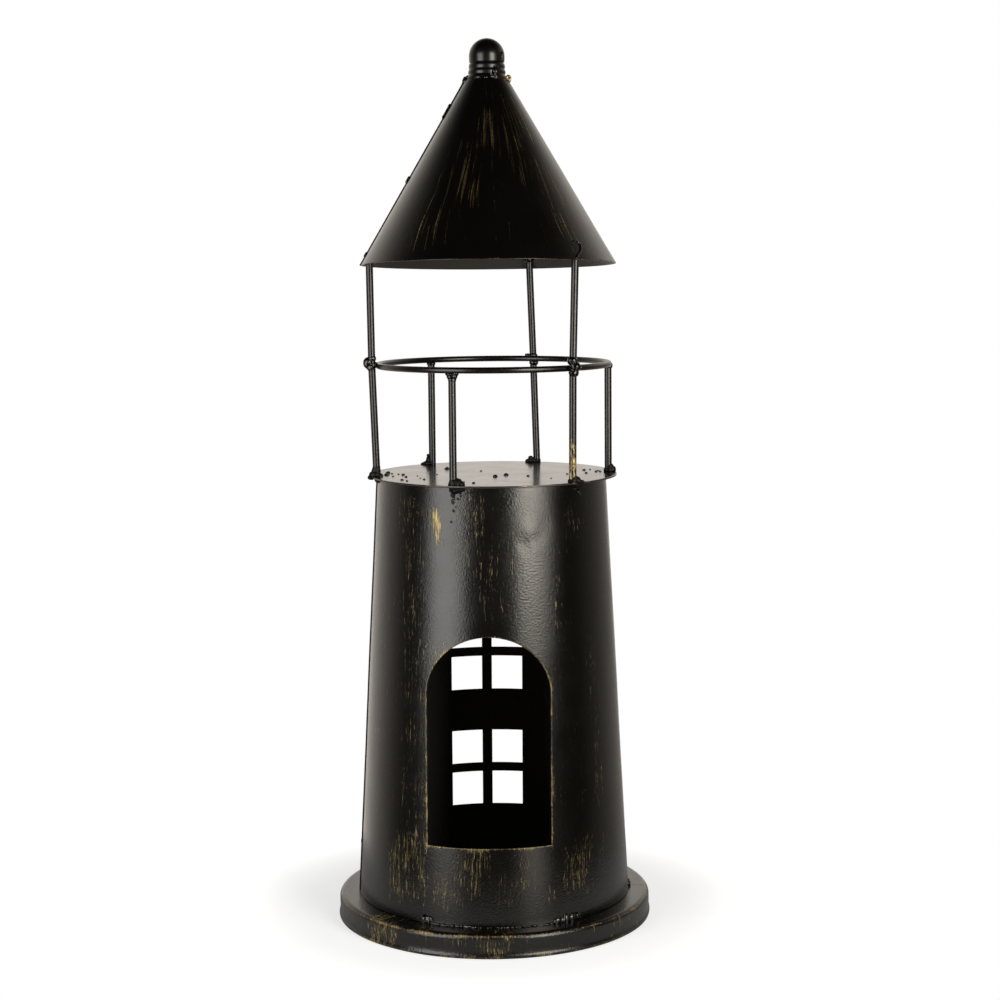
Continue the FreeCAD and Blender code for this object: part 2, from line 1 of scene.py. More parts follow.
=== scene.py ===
# %% [markdown]
# # A lighthouse lantern in painted steel
#
# This lesson dresses a garden lantern in the form of a lighthouse. The CAD model already has every
# piece at its real size. Here each sheet, turned piece and weld gets the looks that a workshop gives
# it: rounded edges, small dents, glossy black paint with an orange-peel skin, and brass paint dragged
# over it with a nearly dry brush. Z points up and the door looks along -Y. Blender counts in metres;
# the sizes in this file are millimetres, and MM turns them into metres.

from math import asin, atan2, cos, degrees, exp, hypot, pi, radians, sin

import bmesh
import bpy
import numpy as np
from mathutils import Matrix, Vector, geometry, noise


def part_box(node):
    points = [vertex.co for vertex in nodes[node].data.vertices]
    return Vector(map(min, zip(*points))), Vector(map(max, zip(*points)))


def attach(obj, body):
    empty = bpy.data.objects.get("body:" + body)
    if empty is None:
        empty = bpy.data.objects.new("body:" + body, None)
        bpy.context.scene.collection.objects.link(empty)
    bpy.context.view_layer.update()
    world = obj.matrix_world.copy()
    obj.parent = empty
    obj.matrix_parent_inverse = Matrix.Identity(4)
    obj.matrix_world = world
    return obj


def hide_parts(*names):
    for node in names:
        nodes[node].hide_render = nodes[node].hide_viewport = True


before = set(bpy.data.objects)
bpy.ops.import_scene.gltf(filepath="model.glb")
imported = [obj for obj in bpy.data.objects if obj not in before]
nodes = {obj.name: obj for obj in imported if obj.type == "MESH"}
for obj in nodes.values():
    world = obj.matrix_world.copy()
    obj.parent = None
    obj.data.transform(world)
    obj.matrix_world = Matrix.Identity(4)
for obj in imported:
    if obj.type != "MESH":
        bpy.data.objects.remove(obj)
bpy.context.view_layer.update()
MM = 0.001

# %% [markdown]
# ## The camera
#
# The photograph was taken from a little above the gallery, with a longish lens, so the tower's
# sides stay nearly straight. The place and the lens come from fitting a pinhole camera to the edges
# of the base, the deck and the roof. The camera keeps its slight tilt, because with a lens shift
# other views of the object would come out skewed.

# %% Place the camera
CAMERA_PLACE = Vector((5.2, -1172.6, 376.1)) * MM
CAMERA_DOWN = radians(6.69)
CAMERA_ROLL = radians(-0.51)
LENS = 74.84


def placed(name, data):
    """Turn a bmesh, or any finished data, into an object of the scene."""
    if isinstance(data, bmesh.types.BMesh):
        mesh, data = data, bpy.data.meshes.new(name)
        mesh.to_mesh(data)
        mesh.free()
    thing = bpy.data.objects.new(name, data)
    bpy.context.scene.collection.objects.link(thing)
    return thing


camera = placed("camera", bpy.data.cameras.new("camera"))
camera.data.lens = LENS
look = Matrix.Rotation(radians(90) - CAMERA_DOWN, 4, "X") @ Matrix.Rotation(CAMERA_ROLL, 4, "Z")
camera.matrix_world = Matrix.Translation(CAMERA_PLACE) @ look
bpy.context.scene.camera = camera
bpy.context.scene.view_settings.view_transform = "Standard"
print("camera is", round(CAMERA_PLACE.length, 3), "m from the middle of the base")

# %% [markdown]
# ## Wiring shader nodes
#
# A procedural material is a small network of nodes. Writing each node and its links by hand takes
# many lines, so one function adds a node, fills its inputs with values or with the output of an
# earlier node, and hands back one output. The others are short names for the nodes used most.

# %% A helper that adds one wired node
def wired(tree, kind, inputs=None, output=0, **settings):
    """Add a node, fill its inputs with values or earlier outputs, and return one output."""
    node = tree.nodes.new("ShaderNode" + kind)
    for name, value in settings.items():
        setattr(node, name, value)
    for slot, value in (inputs or {}).items():
        if isinstance(value, bpy.types.NodeSocket):
            tree.links.new(value, node.inputs[slot])
        else:
            node.inputs[slot].default_value = value
    return node.outputs[output] if node.outputs else node


def sums(tree, operation, *values):
    """One Math node."""
    return wired(tree, "Math", dict(enumerate(values)), operation=operation)


def times(tree, first, second):
    """One value times another."""
    return sums(tree, "MULTIPLY", first, second)


def plus(tree, start, value, share):
    """A start value plus a share of another."""
    return sums(tree, "MULTIPLY_ADD", value, share, start)


def ramp(tree, value, low, high, start=0.0, end=1.0, way="LINEAR"):
    """Turn one range of values into another."""
    limits = {"Value": value, "From Min": low, "From Max": high, "To Min": start, "To Max": end}
    return wired(tree, "MapRange", limits, interpolation_type=way)


def fade(tree, value, low, high, start=0.0, end=1.0):
    """Turn one range of values into another, with soft ends."""
    return ramp(tree, value, low, high, start, end, "SMOOTHSTEP")


def colour(tree, share, first, second):
    """Mix two colours by a share; either may be an earlier colour."""
    return wired(tree, "Mix", {0: share, 6: first, 7: second}, output=2, data_type="RGBA")


def new_material(name):
    """A node material with nothing in it but its output."""
    material = bpy.data.materials.new(name)
    material.use_nodes = True
    material.node_tree.nodes.clear()
    return material


# %% [markdown]
# ## The studio
#
# Black gloss paint has almost no colour of its own: what we see on it is the room. In the
# photograph the room is white behind and beside the lantern and dark around the camera. So the sky
# of this scene is white towards the back and dark towards the front, overhead and low on the right.
# The camera itself, and glass or metal that mirrors the back of the room, always see the plain
# white backdrop.

# %% Build the room around the lantern
WHITE = (1, 1, 1, 1)
ROOM_TINT = (1.0, 0.93, 0.85, 1)
DARK_SIDE = 0.05
SIDEWAYS_SHARE = 0.05
DARK_TO_WHITE = (-0.05, 0.92)
MIRRORED_BACKDROP = (0.90, 0.97)
CEILING_SHARE, CEILING_STARTS = 0.07, (0.35, 0.8)
RIGHT_WALL_SHARE, RIGHT_WALL_STARTS, RIGHT_WALL_TOP = 0.36, (0.0, 0.3), (0.05, 0.3)


def ray_kinds(tree):
    """Whether a ray comes from the camera, and whether it was mirrored or came through glass."""
    rays = tree.nodes.new("ShaderNodeLightPath").outputs
    return rays["Is Camera Ray"], sums(tree, "MAXIMUM", rays["Is Glossy Ray"], rays["Is Transmission Ray"])


world = bpy.data.worlds.new("studio")
world.use_nodes = True
bpy.context.scene.world = world
tree = world.node_tree
tree.nodes.clear()
split = tree.nodes.new("ShaderNodeSeparateXYZ")
tree.links.new(wired(tree, "TexCoord"), split.inputs[0])
across, deep, up = split.outputs
turned = plus(tree, deep, across, SIDEWAYS_SHARE)
backdrop = ramp(tree, turned, *DARK_TO_WHITE, DARK_SIDE, 1.0)
low = fade(tree, up, *RIGHT_WALL_TOP, 1.0, 0.0)
low_right = times(tree, fade(tree, across, *RIGHT_WALL_STARTS), low)
backdrop = times(tree, backdrop, ramp(tree, low_right, 0.0, 1.0, 1.0, RIGHT_WALL_SHARE))
room = times(tree, backdrop, fade(tree, up, *CEILING_STARTS, 1.0, CEILING_SHARE))
from_camera, mirrored = ray_kinds(tree)
mirrored = times(tree, mirrored, fade(tree, deep, *MIRRORED_BACKDROP))
white = sums(tree, "MAXIMUM", from_camera, mirrored)
tint = colour(tree, from_camera, ROOM_TINT, WHITE)
sky = wired(tree, "Background", {"Color": tint, "Strength": sums(tree, "MAXIMUM", white, room)})
wired(tree, "OutputWorld", {"Surface": sky})
print("the room goes from", DARK_SIDE, "in front to 1.0 behind")

# %% [markdown]
# ## The floor
#
# The lantern stands on white paper. Matt paper is never as white as the backdrop, and glowing paper
# would show no shadow. So this sheet is matt and adds a glow that grows towards its rim, until it
# meets the white backdrop. What the paint mirrors of that glow is kept low, as in the photograph.

# %% Lay the floor
FLOOR_RADIUS, FLOOR_UP, FLOOR_STEPS = 200, -0.2, 96
FLOOR_GLOW = 0.62
MIRRORED_GLOW = 0.13
PAPER_GREY = (0.6, 0.6, 0.6, 1)
SHADOW_ENDS = (100, 200)

paper = new_material("white_paper")
tree = paper.node_tree
away = wired(tree, "VectorMath", {0: wired(tree, "TexCoord", output=3)}, output=1, operation="LENGTH")
outer = fade(tree, away, SHADOW_ENDS[0] * MM, SHADOW_ENDS[1] * MM)
from_camera, mirrored = ray_kinds(tree)
seen = sums(tree, "MAXIMUM", from_camera, times(tree, mirrored, MIRRORED_GLOW))
level = ramp(tree, outer, 0.0, 1.0, FLOOR_GLOW, 1.0)
glow = wired(tree, "Emission", {"Color": WHITE, "Strength": times(tree, seen, level)})
matt = wired(tree, "BsdfDiffuse", {"Color": PAPER_GREY})
wired(tree, "OutputMaterial", {"Surface": wired(tree, "AddShader", {0: glow, 1: matt})})
mesh = bmesh.new()
bmesh.ops.create_circle(mesh, cap_ends=True, segments=FLOOR_STEPS, radius=FLOOR_RADIUS * MM,
                        matrix=Matrix.Translation((0, 0, FLOOR_UP * MM)))
floor = placed("floor", mesh)
floor.data.materials.append(paper)
print("the floor is", 2 * FLOOR_RADIUS, "mm across")

# %% [markdown]
# ## The soft boxes
#
# The studio's soft boxes are area lamps here. Two large ones make the two soft streaks on the tower,
# and a narrow one beside them makes the thin light edge on its right. Two weak ones near the floor
# stand for the white paper in front, which lights the lantern's foot.

# %% Hang the soft boxes
# In metres: how far away the lamps hang, and in each row the name, the angle from the camera in
# degrees, width, height, height of the middle, radiance and colour.
BOX_AWAY = 0.72
SOFT_BOXES = (
    ("left_soft_box", -43.0, 0.40, 0.66, 0.36, 3.8, (0.95, 0.98, 1.0)),
    ("right_soft_box", 32.0, 0.20, 0.56, 0.44, 8.0, (1.0, 0.98, 0.93)),
    ("right_edge_box", 45.5, 0.18, 0.56, 0.42, 4.6, (1.0, 0.98, 0.93)),
    ("right_low_box", 32.0, 0.22, 0.38, -0.07, 1.3, (1.0, 0.96, 0.90)),
    ("left_low_box", -40.0, 0.26, 0.34, -0.13, 0.9, (1.0, 0.97, 0.93)),
)
for name, turn, width, height, middle, radiance, tint in SOFT_BOXES:
    lamp = bpy.data.lights.new(name, "AREA")
    lamp.shape = "RECTANGLE"
    lamp.size = width
    lamp.size_y = height
    lamp.color = tint
    lamp.energy = radiance * pi * width * height
    box = placed(name, lamp)
    turn = radians(turn)
    box.location = (BOX_AWAY * sin(turn), -BOX_AWAY * cos(turn), middle)
    box.rotation_euler = (radians(90), 0, turn)
    box.visible_camera = False
    print(name, "gives", round(lamp.energy, 2), "W")

# %% [markdown]
# ## Sheet metal from its flat pattern
#
# The tower, the roof and the gallery deck are cut from flat sheet, so they are modelled the same
# way: an outline with its openings is filled with a grid, and each spot is then rolled to its place
# in space. A CAD edge is perfectly sharp and looks like plastic, but a cut edge of real sheet is
# slightly round, so a few narrow rings join the two faces. Two values are kept at every spot for
# the paint: where it lies on the flat pattern, and how far it is worn.

# %% Walk round outlines
# The rings that round a cut edge: how far in from it and how deep.
EDGE_ROUND = ((0.22, 0.0), (0.06, 0.06), (0.0, 0.22))
# How far in from every edge the guard rings lie, and where the grid of spots starts.
GUARD, CLEAR = 0.8, 2.2


def walk(corners, step):
    """Leave a spot about every step along a closed outline."""
    spots = []
    for start, end in zip(corners, corners[1:] + corners[:1]):
        start, end = Vector(start), Vector(end)
        count = max(1, round((end - start).length / step))
        spots += [start.lerp(end, part / count) for part in range(count)]
    return spots


def rectangle(left, right, low, high, step):
    """Walk round a rectangle."""
    return walk([(left, low), (right, low), (right, high), (left, high)], step)


def facing(loop, clockwise):
    """Turn a loop the right way round: clockwise for openings, else for outlines."""
    area = sum(a.x * b.y - b.x * a.y for a, b in zip(loop, loop[1:] + loop[:1]))
    return loop[::-1] if (area > 0) == clockwise else loop


def inset(loop, distance):
    """Move a loop sideways into the metal, which lies on its left."""
    moved = []
    for before, here, after in zip(loop[-1:] + loop[:-1], loop, loop[1:] + loop[:1]):
        first, second = (here - before).normalized(), (after - here).normalized()
        left = Vector((-first.y - second.y, first.x + second.x))
        moved.append(here + left * distance / (1 + first.dot(second)))
    return moved


def in_metal(spots, loops):
    """Whether each spot is inside the outline and outside every opening."""
    x, y = np.array(spots).T
    found = np.zeros(len(spots), bool)
    for loop in loops:
        for start, end in zip(loop, loop[1:] + loop[:1]):
            if start.y != end.y:
                slope = (end.x - start.x) / (end.y - start.y)
                found ^= ((start.y > y) != (end.y > y)) & (x < start.x + (y - start.y) * slope)
    return found


# %% [markdown]
# With the outlines ready, the pattern is filled with triangles. A plain grid of spots would leave
# ragged edges, so rings of spots along every edge come first, and the grid starts further in.

# %% Fill a flat pattern
def rows_of(sides, height, low, across_step, up_step):
    """A plain grid of spots between two sides, from a low line up."""
    width = sides[1] - sides[0]
    columns, rows = round(width / across_step), round(height / up_step)
    return [Vector((sides[0] + width * column / columns, low + height * row / rows))
            for row in range(1, rows) for column in range(1, columns)]


def filled(loops, fill):
    """Fill loops with spots. The border rings come first, then the guard rings."""
    clear = in_metal(fill, [inset(loop, CLEAR) for loop in loops])
    borders = [inset(loop, EDGE_ROUND[0][0]) for loop in loops]
    guards = [inset(loop, GUARD) for loop in loops]
    spots, lines = [], []
    for loop in borders + guards:
        first, count = len(spots), len(loop)
        spots += loop
        lines += [(first + step, first + (step + 1) % count) for step in range(count)]
    spots += [spot for spot, keep in zip(fill, clear) if keep]
    spots, _, faces = geometry.delaunay_2d_cdt(spots, lines, [], 0, 1e-6)[:3]
    middles = [sum((spots[corner] for corner in face), Vector((0, 0))) / 3 for face in faces]
    return spots, [face for face, keep in zip(faces, in_metal(middles, borders)) if keep]


# %% [markdown]
# The filled pattern is put down twice, once for each face of the sheet, and narrow rings join the two.
# Rubbed paint at an opening spreads onto the face a little. A finished piece then stands in for its
# CAD piece and moves with the same body.

# %% Roll a flat pattern into a piece
RIM_SPREAD = 0.42
NEARLY_FLAT = 0.3


def keep_piece(name, mesh, node):
    """Turn a bmesh into a smooth object that stands in for a CAD piece."""
    bmesh.ops.delete(mesh, geom=[vert for vert in mesh.verts if not vert.link_faces], context="VERTS")
    thing = placed(name, mesh)
    thing.data.shade_smooth()
    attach(thing, "root")
    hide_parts(node)
    sizes = [round(size / MM, 1) for size in thing.dimensions]
    print(name, "is", sizes, "mm with", len(thing.data.polygons), "faces")
    return thing


def sheet_piece(loops, fill, place, thick, wears=(1.0, 1.0)):
    """Put a filled pattern on both faces of a sheet and round off the edges.

    wears says how worn the outline and the openings are."""
    mesh = bmesh.new()
    worn = mesh.verts.layers.float.new("worn")
    flat = mesh.verts.layers.float_vector.new("flat")

    def put(spot, depth, wear):
        vert = mesh.verts.new(place(spot.x, spot.y, depth) * MM)
        vert[worn], vert[flat] = wear, (spot.x, spot.y, depth)
        return vert

    spots, faces = filled(loops, fill)
    in_openings = sum(len(loop) for loop in loops[1:])
    edge_wear = [wears[0]] * len(loops[0]) + [wears[1]] * in_openings
    edge_wear += [0.0] * len(loops[0]) + [wears[1] * RIM_SPREAD] * in_openings
    edge_wear += [0.0] * (len(spots) - len(edge_wear))
    skins = []
    for depth in (0.0, thick):
        skin = [put(spot, depth, edge_wear[step]) for step, spot in enumerate(spots)]
        for face in faces:
            mesh.faces.new([skin[corner] for corner in (face if depth == 0.0 else reversed(face))])
        skins.append(skin)
    rounds = list(EDGE_ROUND[1:])
    rounds += [(inward, thick - depth) for inward, depth in reversed(EDGE_ROUND[1:])]
    first = 0
    for loop in loops:
        count = len(loop)
        rings = [skins[0][first:first + count]]
        for inward, depth in rounds:
            rings.append([put(spot, depth, edge_wear[first]) for spot in inset(loop, inward)])
        rings.append(skins[1][first:first + count])
        for upper, lower in zip(rings, rings[1:]):
            for step in range(count):
                after = (step + 1) % count
                mesh.faces.new((upper[step], lower[step], lower[after], upper[after]))
        first += count
    triangles = [face for face in mesh.faces if len(face.verts) == 3]
    bmesh.ops.join_triangles(mesh, faces=triangles, angle_face_threshold=NEARLY_FLAT,
                             angle_shape_threshold=NEARLY_FLAT)
    return mesh


# %% [markdown]
# ## The tower
#
# The tower is one sheet, rolled to a cone and lapped on the left, where the outer end climbs over
# the inner one. The door and the two windows were cut while it was still flat, so their edges point
# at the tower's axis. Rolling by hand leaves slow waves of about a tenth of a millimetre, which
# make the long reflections wander. A knock left a small dent near the top.

# %% Say where the tower's sheet goes
TOWER_SHEET = 0.8
TOWER_FOOT, TOWER_NECK = 77.5, 64.6
TOWER_LOW, TOWER_HIGH = 13.3, 253.0
TOWER_PATTERN = 71.0
TOWER_STEP = 2.6
TOWER_ENDS = (radians(-191), radians(182))
# Between these angles the outer end climbs, and the under end tucks in a little.
LAP_CLIMB = (radians(160), radians(169))
TUCK_IN = (radians(174), radians(178))
TUCKED = 0.08
WAVE, WAVE_SCALE, FINE_WAVE = 0.13, (2.2, 60), (0.3, 3.1)
# The knock, as small hollows and bulges: plan angle, height, width and depth.
DENTS = ((-72.0, 229.0, 4.0, -0.2), (-74.0, 221.0, 3.5, 0.32), (-67.0, 225.0, 3.0, 0.28),
         (-70.0, 219.0, 3.0, -0.16), (-64.0, 232.0, 4.0, 0.2))
NECK_SHIFT = 0.7


def polar(reach, turn, up):
    """A place, from how far out it is, its plan angle in radians and its height."""
    return Vector((reach * cos(turn), reach * sin(turn), up))


def soft(value, low, high):
    """0 below low, 1 above high and a smooth rise between them."""
    share = min(1.0, max(0.0, (value - low) / (high - low)))
    return share * share * (3 - 2 * share)


def tower_radius(up):
    """How far out the wall is at a height."""
    return TOWER_FOOT + (TOWER_NECK - TOWER_FOOT) * (up - TOWER_LOW) / (TOWER_HIGH - TOWER_LOW)


def roll_tower(across, up, depth):
    """Where a spot of the tower's flat pattern ends up."""
    turn = across / TOWER_PATTERN
    climb = TOWER_SHEET * soft(turn, *LAP_CLIMB) - TUCKED * soft(-turn, *TUCK_IN)
    spot = polar(WAVE_SCALE[0], turn, up / WAVE_SCALE[1])
    wave = WAVE * (noise.noise(spot) + FINE_WAVE[0] * noise.noise(spot * FINE_WAVE[1]))
    for dent_turn, dent_up, wide, deep in DENTS:
        near = hypot((turn - radians(dent_turn)) * TOWER_PATTERN, up - dent_up) / wide
        wave -= deep * exp(-near * near) if near < 3 else 0.0
    radius = tower_radius(up) - depth + climb + wave
    lean = NECK_SHIFT * (up - TOWER_LOW) / (TOWER_HIGH - TOWER_LOW)
    return Vector((radius * cos(turn) + lean, radius * sin(turn), up))


def on_tower(across, up, behind=False):
    """The flat-pattern spot of a place seen from the front."""
    turn = asin(across / tower_radius(up))
    turn = pi / 2 - turn if behind else turn - pi / 2
    return Vector((turn * TOWER_PATTERN, up))


print("the tower narrows from", 2 * TOWER_FOOT, "to", 2 * TOWER_NECK, "mm")

# %% [markdown]
# The outline is the unrolled wall. The door has upright sides and half an ellipse on top, and each of
# the two windows four panes. Both are measured from the front, though the windows lie behind.

# %% Cut and roll the tower
# The door: its middle, half its width, its sill, where the arch starts and how far that rises.
DOOR = (-2.3, 34.0, 56.7, 138.9, 33.0)
# The windows: their middle, half the bar between two panes, and a pane's width and height.
WINDOW = (-4.0, 3.0, 18.5, 20.6)
PANE_SILLS = (42.2, 68.3, 114.7, 140.8)
TOWER_WEARS = (0.25, 1.9)

ends = [end * TOWER_PATTERN for end in TOWER_ENDS]
outline = rectangle(*ends, TOWER_LOW, TOWER_HIGH, TOWER_STEP)
middle, half, sill, spring, rise = DOOR
left, right = middle - half, middle + half
jambs = walk([(left, spring), (left, sill), (right, sill), (right, spring)], TOWER_STEP)
jambs = [tuple(spot) for spot in jambs if spot.y < spring - GUARD]
turns = [radians(step) for step in range(0, 181, 4)]
arch = [(middle + half * cos(turn), spring + rise * sin(turn)) for turn in turns]
door = [on_tower(*spot) for spot in jambs + arch]
openings = [facing(door, True)]
middle, bar, wide, tall = WINDOW
for sill in PANE_SILLS:
    for side in (-1, 1):
        near = middle + side * bar
        pane = rectangle(near, near + side * wide, sill, sill + tall, TOWER_STEP)
        openings.append(facing([on_tower(*spot, behind=True) for spot in pane], True))
fill = rows_of(ends, TOWER_HIGH - TOWER_LOW, TOWER_LOW, TOWER_STEP, TOWER_STEP)
tower_mesh = sheet_piece([facing(outline, False)] + openings, fill, roll_tower, TOWER_SHEET, TOWER_WEARS)
tower = keep_piece("tower", tower_mesh, "tower_shell")

# %% [markdown]
# ## The roof
#
# The roof is a wider cone of the same sheet, lapped on the left as well. It leans back a little, so
# the camera, which looks from just above the gallery, still sees a thin crescent of its inside.

# %% Roll the roof
ROOF_SHEET = 0.93
ROOF_RIM, ROOF_TOP, ROOF_TALL = 71.5, 12.0, 102.0
ROOF_PATTERN = 45.0
ROOF_ENDS = (radians(-188), radians(183))
ROOF_LAP_CLIMB = (radians(163), radians(172))
ROOF_TUCK_IN = (radians(171), radians(177))
ROOF_STEPS = (1.8, 2.6)
ROOF_LEAN = Matrix.Translation((0, 0, 371.5)) @ Matrix.Rotation(radians(-2.6), 4, "X")
ROOF_WAVE = 0.16


def roll_roof(across, up, depth):
    """Where a spot of the roof's flat pattern ends up."""
    turn = across / ROOF_PATTERN
    share = up / ROOF_TALL
    climb = ROOF_SHEET * soft(turn, *ROOF_LAP_CLIMB) - TUCKED * soft(-turn, *ROOF_TUCK_IN)
    spot = polar(1.8, turn, up / 40 + 7)
    wave = ROOF_WAVE * noise.noise(spot) * (1 - 0.7 * share)
    radius = ROOF_RIM + (ROOF_TOP - ROOF_RIM) * share - depth + climb + wave
    return ROOF_LEAN @ polar(radius, turn, up)


ends = [end * ROOF_PATTERN for end in ROOF_ENDS]
outline = rectangle(*ends, 0, ROOF_TALL, ROOF_STEPS[0])
fill = rows_of(ends, ROOF_TALL, 0, *ROOF_STEPS)
roof = keep_piece("roof", sheet_piece([outline], fill, roll_roof, ROOF_SHEET), "roof_cone")

# %% [markdown]
# ## The gallery deck
#
# The deck is a flat disc cut from thicker sheet. Seen from this low, its top mirrors the white
# backdrop, and even tiny waves would show, so it gets only a hundredth of a millimetre.

# %% Cut the deck
DECK_RADIUS, DECK_MIDDLE, DECK_TOP, DECK_SHEET = 69.6, 1.8, 254.0, 1.0
DECK_WAVE = 0.01
DECK_STEP = 2.6


def lay_deck(across, deep, depth):
    """Where a spot of the deck's flat pattern ends up."""
    wave = DECK_WAVE * noise.noise(Vector((across / 22, deep / 22, 3)))
    return Vector((across + DECK_MIDDLE, deep, DECK_TOP - depth + min(0.0, wave - DECK_WAVE)))


outline = [Vector((cos(radians(step)), sin(radians(step)))) * DECK_RADIUS for step in range(0, 360, 2)]
fill = rows_of((-DECK_RADIUS, DECK_RADIUS), 2 * DECK_RADIUS, -DECK_RADIUS, DECK_STEP, DECK_STEP)
deck = keep_piece("deck", sheet_piece([outline], fill, lay_deck, DECK_SHEET), "gallery_deck")

# %% [markdown]
# ## Round pieces
#
# The base pan was pressed, and the collar and ball of the finial were turned. All three are
# profiles swept round an upright axis. The profile is drawn with small round corners, and a slow
# wobble keeps the pan from looking machined.

# %% Sweep the base pan
def lathed(profile, steps, middle=Vector(), wobble=0.0):
    """Sweep a profile of reach, height and wear round an upright axis."""
    mesh = bmesh.new()
    worn = mesh.verts.layers.float.new("worn")
    flat = mesh.verts.layers.float_vector.new("flat")
    widest = max(reach for reach, up, wear in profile)
    rings = []
    path, before = 0.0, profile[0]
    for reach, up, wear in profile:
        path += hypot(reach - before[0], up - before[1])
        before = (reach, up)
        ring = []
        for step in range(steps):
            turn = 2 * pi * step / steps
            spot = polar(1, turn, up / 30)
            out = reach - wobble * (0.5 + 0.5 * noise.noise(spot * 3.5))
            vert = mesh.verts.new((middle + Vector((out * spot.x, out * spot.y, up))) * MM)
            vert[worn], vert[flat] = wear, (turn * widest, path, 0)
            ring.append(vert)
        rings.append(ring)
    for lower, upper in zip(rings, rings[1:]):
        for step in range(steps):
            after = (step + 1) % steps
            mesh.faces.new((lower[step], lower[after], upper[after], upper[step]))
    mesh.faces.new(rings[0][::-1])
    mesh.faces.new(rings[-1])
    return mesh


# Each row: how far out, how high, how worn. It runs from the inside, over the lip, to the outside.
BASE_PROFILE = [
    (3.0, 12.3, 0.0), (40.0, 12.3, 0.0), (80.0, 12.3, 0.0), (86.4, 12.3, 0.0), (87.8, 11.7, 0.0),
    (88.4, 10.3, 0.0), (88.4, 2.0, 0.0), (88.4, 0.6, 0.3), (88.6, 0.15, 1.3), (89.0, 0.0, 1.3),
    (89.5, 0.0, 1.3), (89.85, 0.2, 1.3), (90.0, 0.6, 1.2), (90.0, 1.3, 0.8), (89.9, 1.8, 0.7),
    (89.6, 2.2, 0.3), (89.4, 2.7, 0.0), (89.4, 5.0, 0.0), (89.4, 8.0, 0.0), (89.38, 10.0, 0.1)]
BASE_BEND, BEND_OUT, BEND_UP = 3, 86.4, 10.3
SHOULDER_WEAR, SHOULDER_CREST, SHOULDER_SPREAD = 1.6, 50, 14
BASE_WOBBLE = 0.3
for turn in range(84, -1, -7):
    wear = SHOULDER_WEAR * exp(-((turn - SHOULDER_CREST) / SHOULDER_SPREAD) ** 2)
    BASE_PROFILE.append((BEND_OUT + BASE_BEND * sin(radians(turn)),
                         BEND_UP + BASE_BEND * cos(radians(turn)), wear))
BASE_PROFILE += [(reach, TOWER_LOW, 0.0) for reach in (85.6, 84, 81, 77, 70, 55, 40, 25, 10, 3)]
base = keep_piece("base", lathed(BASE_PROFILE, 300, wobble=BASE_WOBBLE), "base_pan")

# %% [markdown]
# The finial is a turned collar with two soft ridges under a ball, which is cut flat where it sits on the
# collar. Both are small, so a few round corners and a fine sweep are enough.

# %% Sweep the collar and the ball
# Each ridge: the shares of the collar's height where it starts, is widest and ends.
RIDGES = ((0.30, 0.43, 0.56), (0.60, 0.76, 0.92))
COLLAR_FOOT, COLLAR_WAIST, COLLAR_TALL, COLLAR_DRAW, COLLAR_GROOVE = 11.4, 10.5, 9.7, 0.35, 0.36
RIDGE_FLANK = 0.26
BALL_RADIUS, BALL_NECK = 9.95, 8.9

profile = [(2.0, -3.0, 0.0), (10.9, -3.0, 0.0), (10.95, -2.8, 0.0), (10.95, 0.0, 0.0), (11.2, 0.0, 0.2),
           (COLLAR_FOOT, 0.3, 0.4), (COLLAR_FOOT, 1.2, 0.2), (COLLAR_FOOT - 0.4, 1.7, 0.0),
           (COLLAR_WAIST, 2.4, 0.0)]
for step, (low, crest, high) in enumerate(RIDGES):
    ridge = COLLAR_WAIST - step * COLLAR_DRAW
    groove = ridge - COLLAR_GROOVE
    flank = groove + RIDGE_FLANK
    for share, reach, wear in ((low, groove, 0.0), ((low + crest) / 2, flank, 0.3), (crest, ridge, 1.0),
                               ((crest + high) / 2, flank, 0.3), (high, groove, 0.0)):
        profile.append((reach, share * COLLAR_TALL, wear))
profile += [(reach, COLLAR_TALL, 0.0) for reach in (9.0, 7.0, 4.0, 1.0)]
collar = lathed(profile, 96)
lean = ROOF_LEAN @ Matrix.Translation((0, 0, ROOF_TALL))
collar.transform(Matrix.Scale(MM, 4) @ lean @ Matrix.Scale(1 / MM, 4))
collar = keep_piece("collar", collar, "finial_collar")

low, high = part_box("finial_ball")
middle = (low + high) / 2 / MM
middle.z = high.z / MM - BALL_RADIUS
profile = []
for step in range(-20, 90, 4):
    turn = radians(step)
    reach = cos(turn * 0.45) if step < 0 else cos(turn)
    profile.append((BALL_RADIUS * reach, BALL_RADIUS * sin(turn), 0.0))
seat = profile[0][1] - 0.2
profile = [(0.5, seat, 0.0), (BALL_NECK, seat, 0.0)] + profile
ball = keep_piece("ball", lathed(profile, 96, middle), "finial_ball")

# %% [markdown]
# ## Melting weld
#
# A weld bead is a row of drops that froze one after the other, and a tack is a heap of them. In the
# CAD model each drop is a clean ball, cut flush to what it joins. Here drops are laid as stretched
# balls, melted together with a fine voxel remesh, smoothed, and roughened a little along their normals.

# %% Melt drops into weld
VOXEL, SMOOTHINGS = 0.24, 5
LUMP_SIZE, LUMP_MIDDLE = 1.5, 0.4
lumps = bpy.data.textures.new("weld_lumps", "CLOUDS")
lumps.noise_scale = LUMP_SIZE * MM
lumps.noise_depth = 2


def melted(name, data, replaced, roughness):
    """Melt a heap of drops together and roughen it."""
    thing = placed(name, data)
    melt = thing.modifiers.new("melt", "REMESH")
    melt.mode = "VOXEL"
    melt.voxel_size = VOXEL * MM
    melt.use_smooth_shade = True
    even = thing.modifiers.new("even", "SMOOTH")
    even.iterations = SMOOTHINGS
    rough = thing.modifiers.new("rough", "DISPLACE")
    rough.texture = lumps
    rough.texture_coords = "LOCAL"
    rough.strength = roughness * MM
    rough.mid_level = LUMP_MIDDLE
    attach(thing, "root")
    if replaced:
        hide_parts(replaced)
    return thing


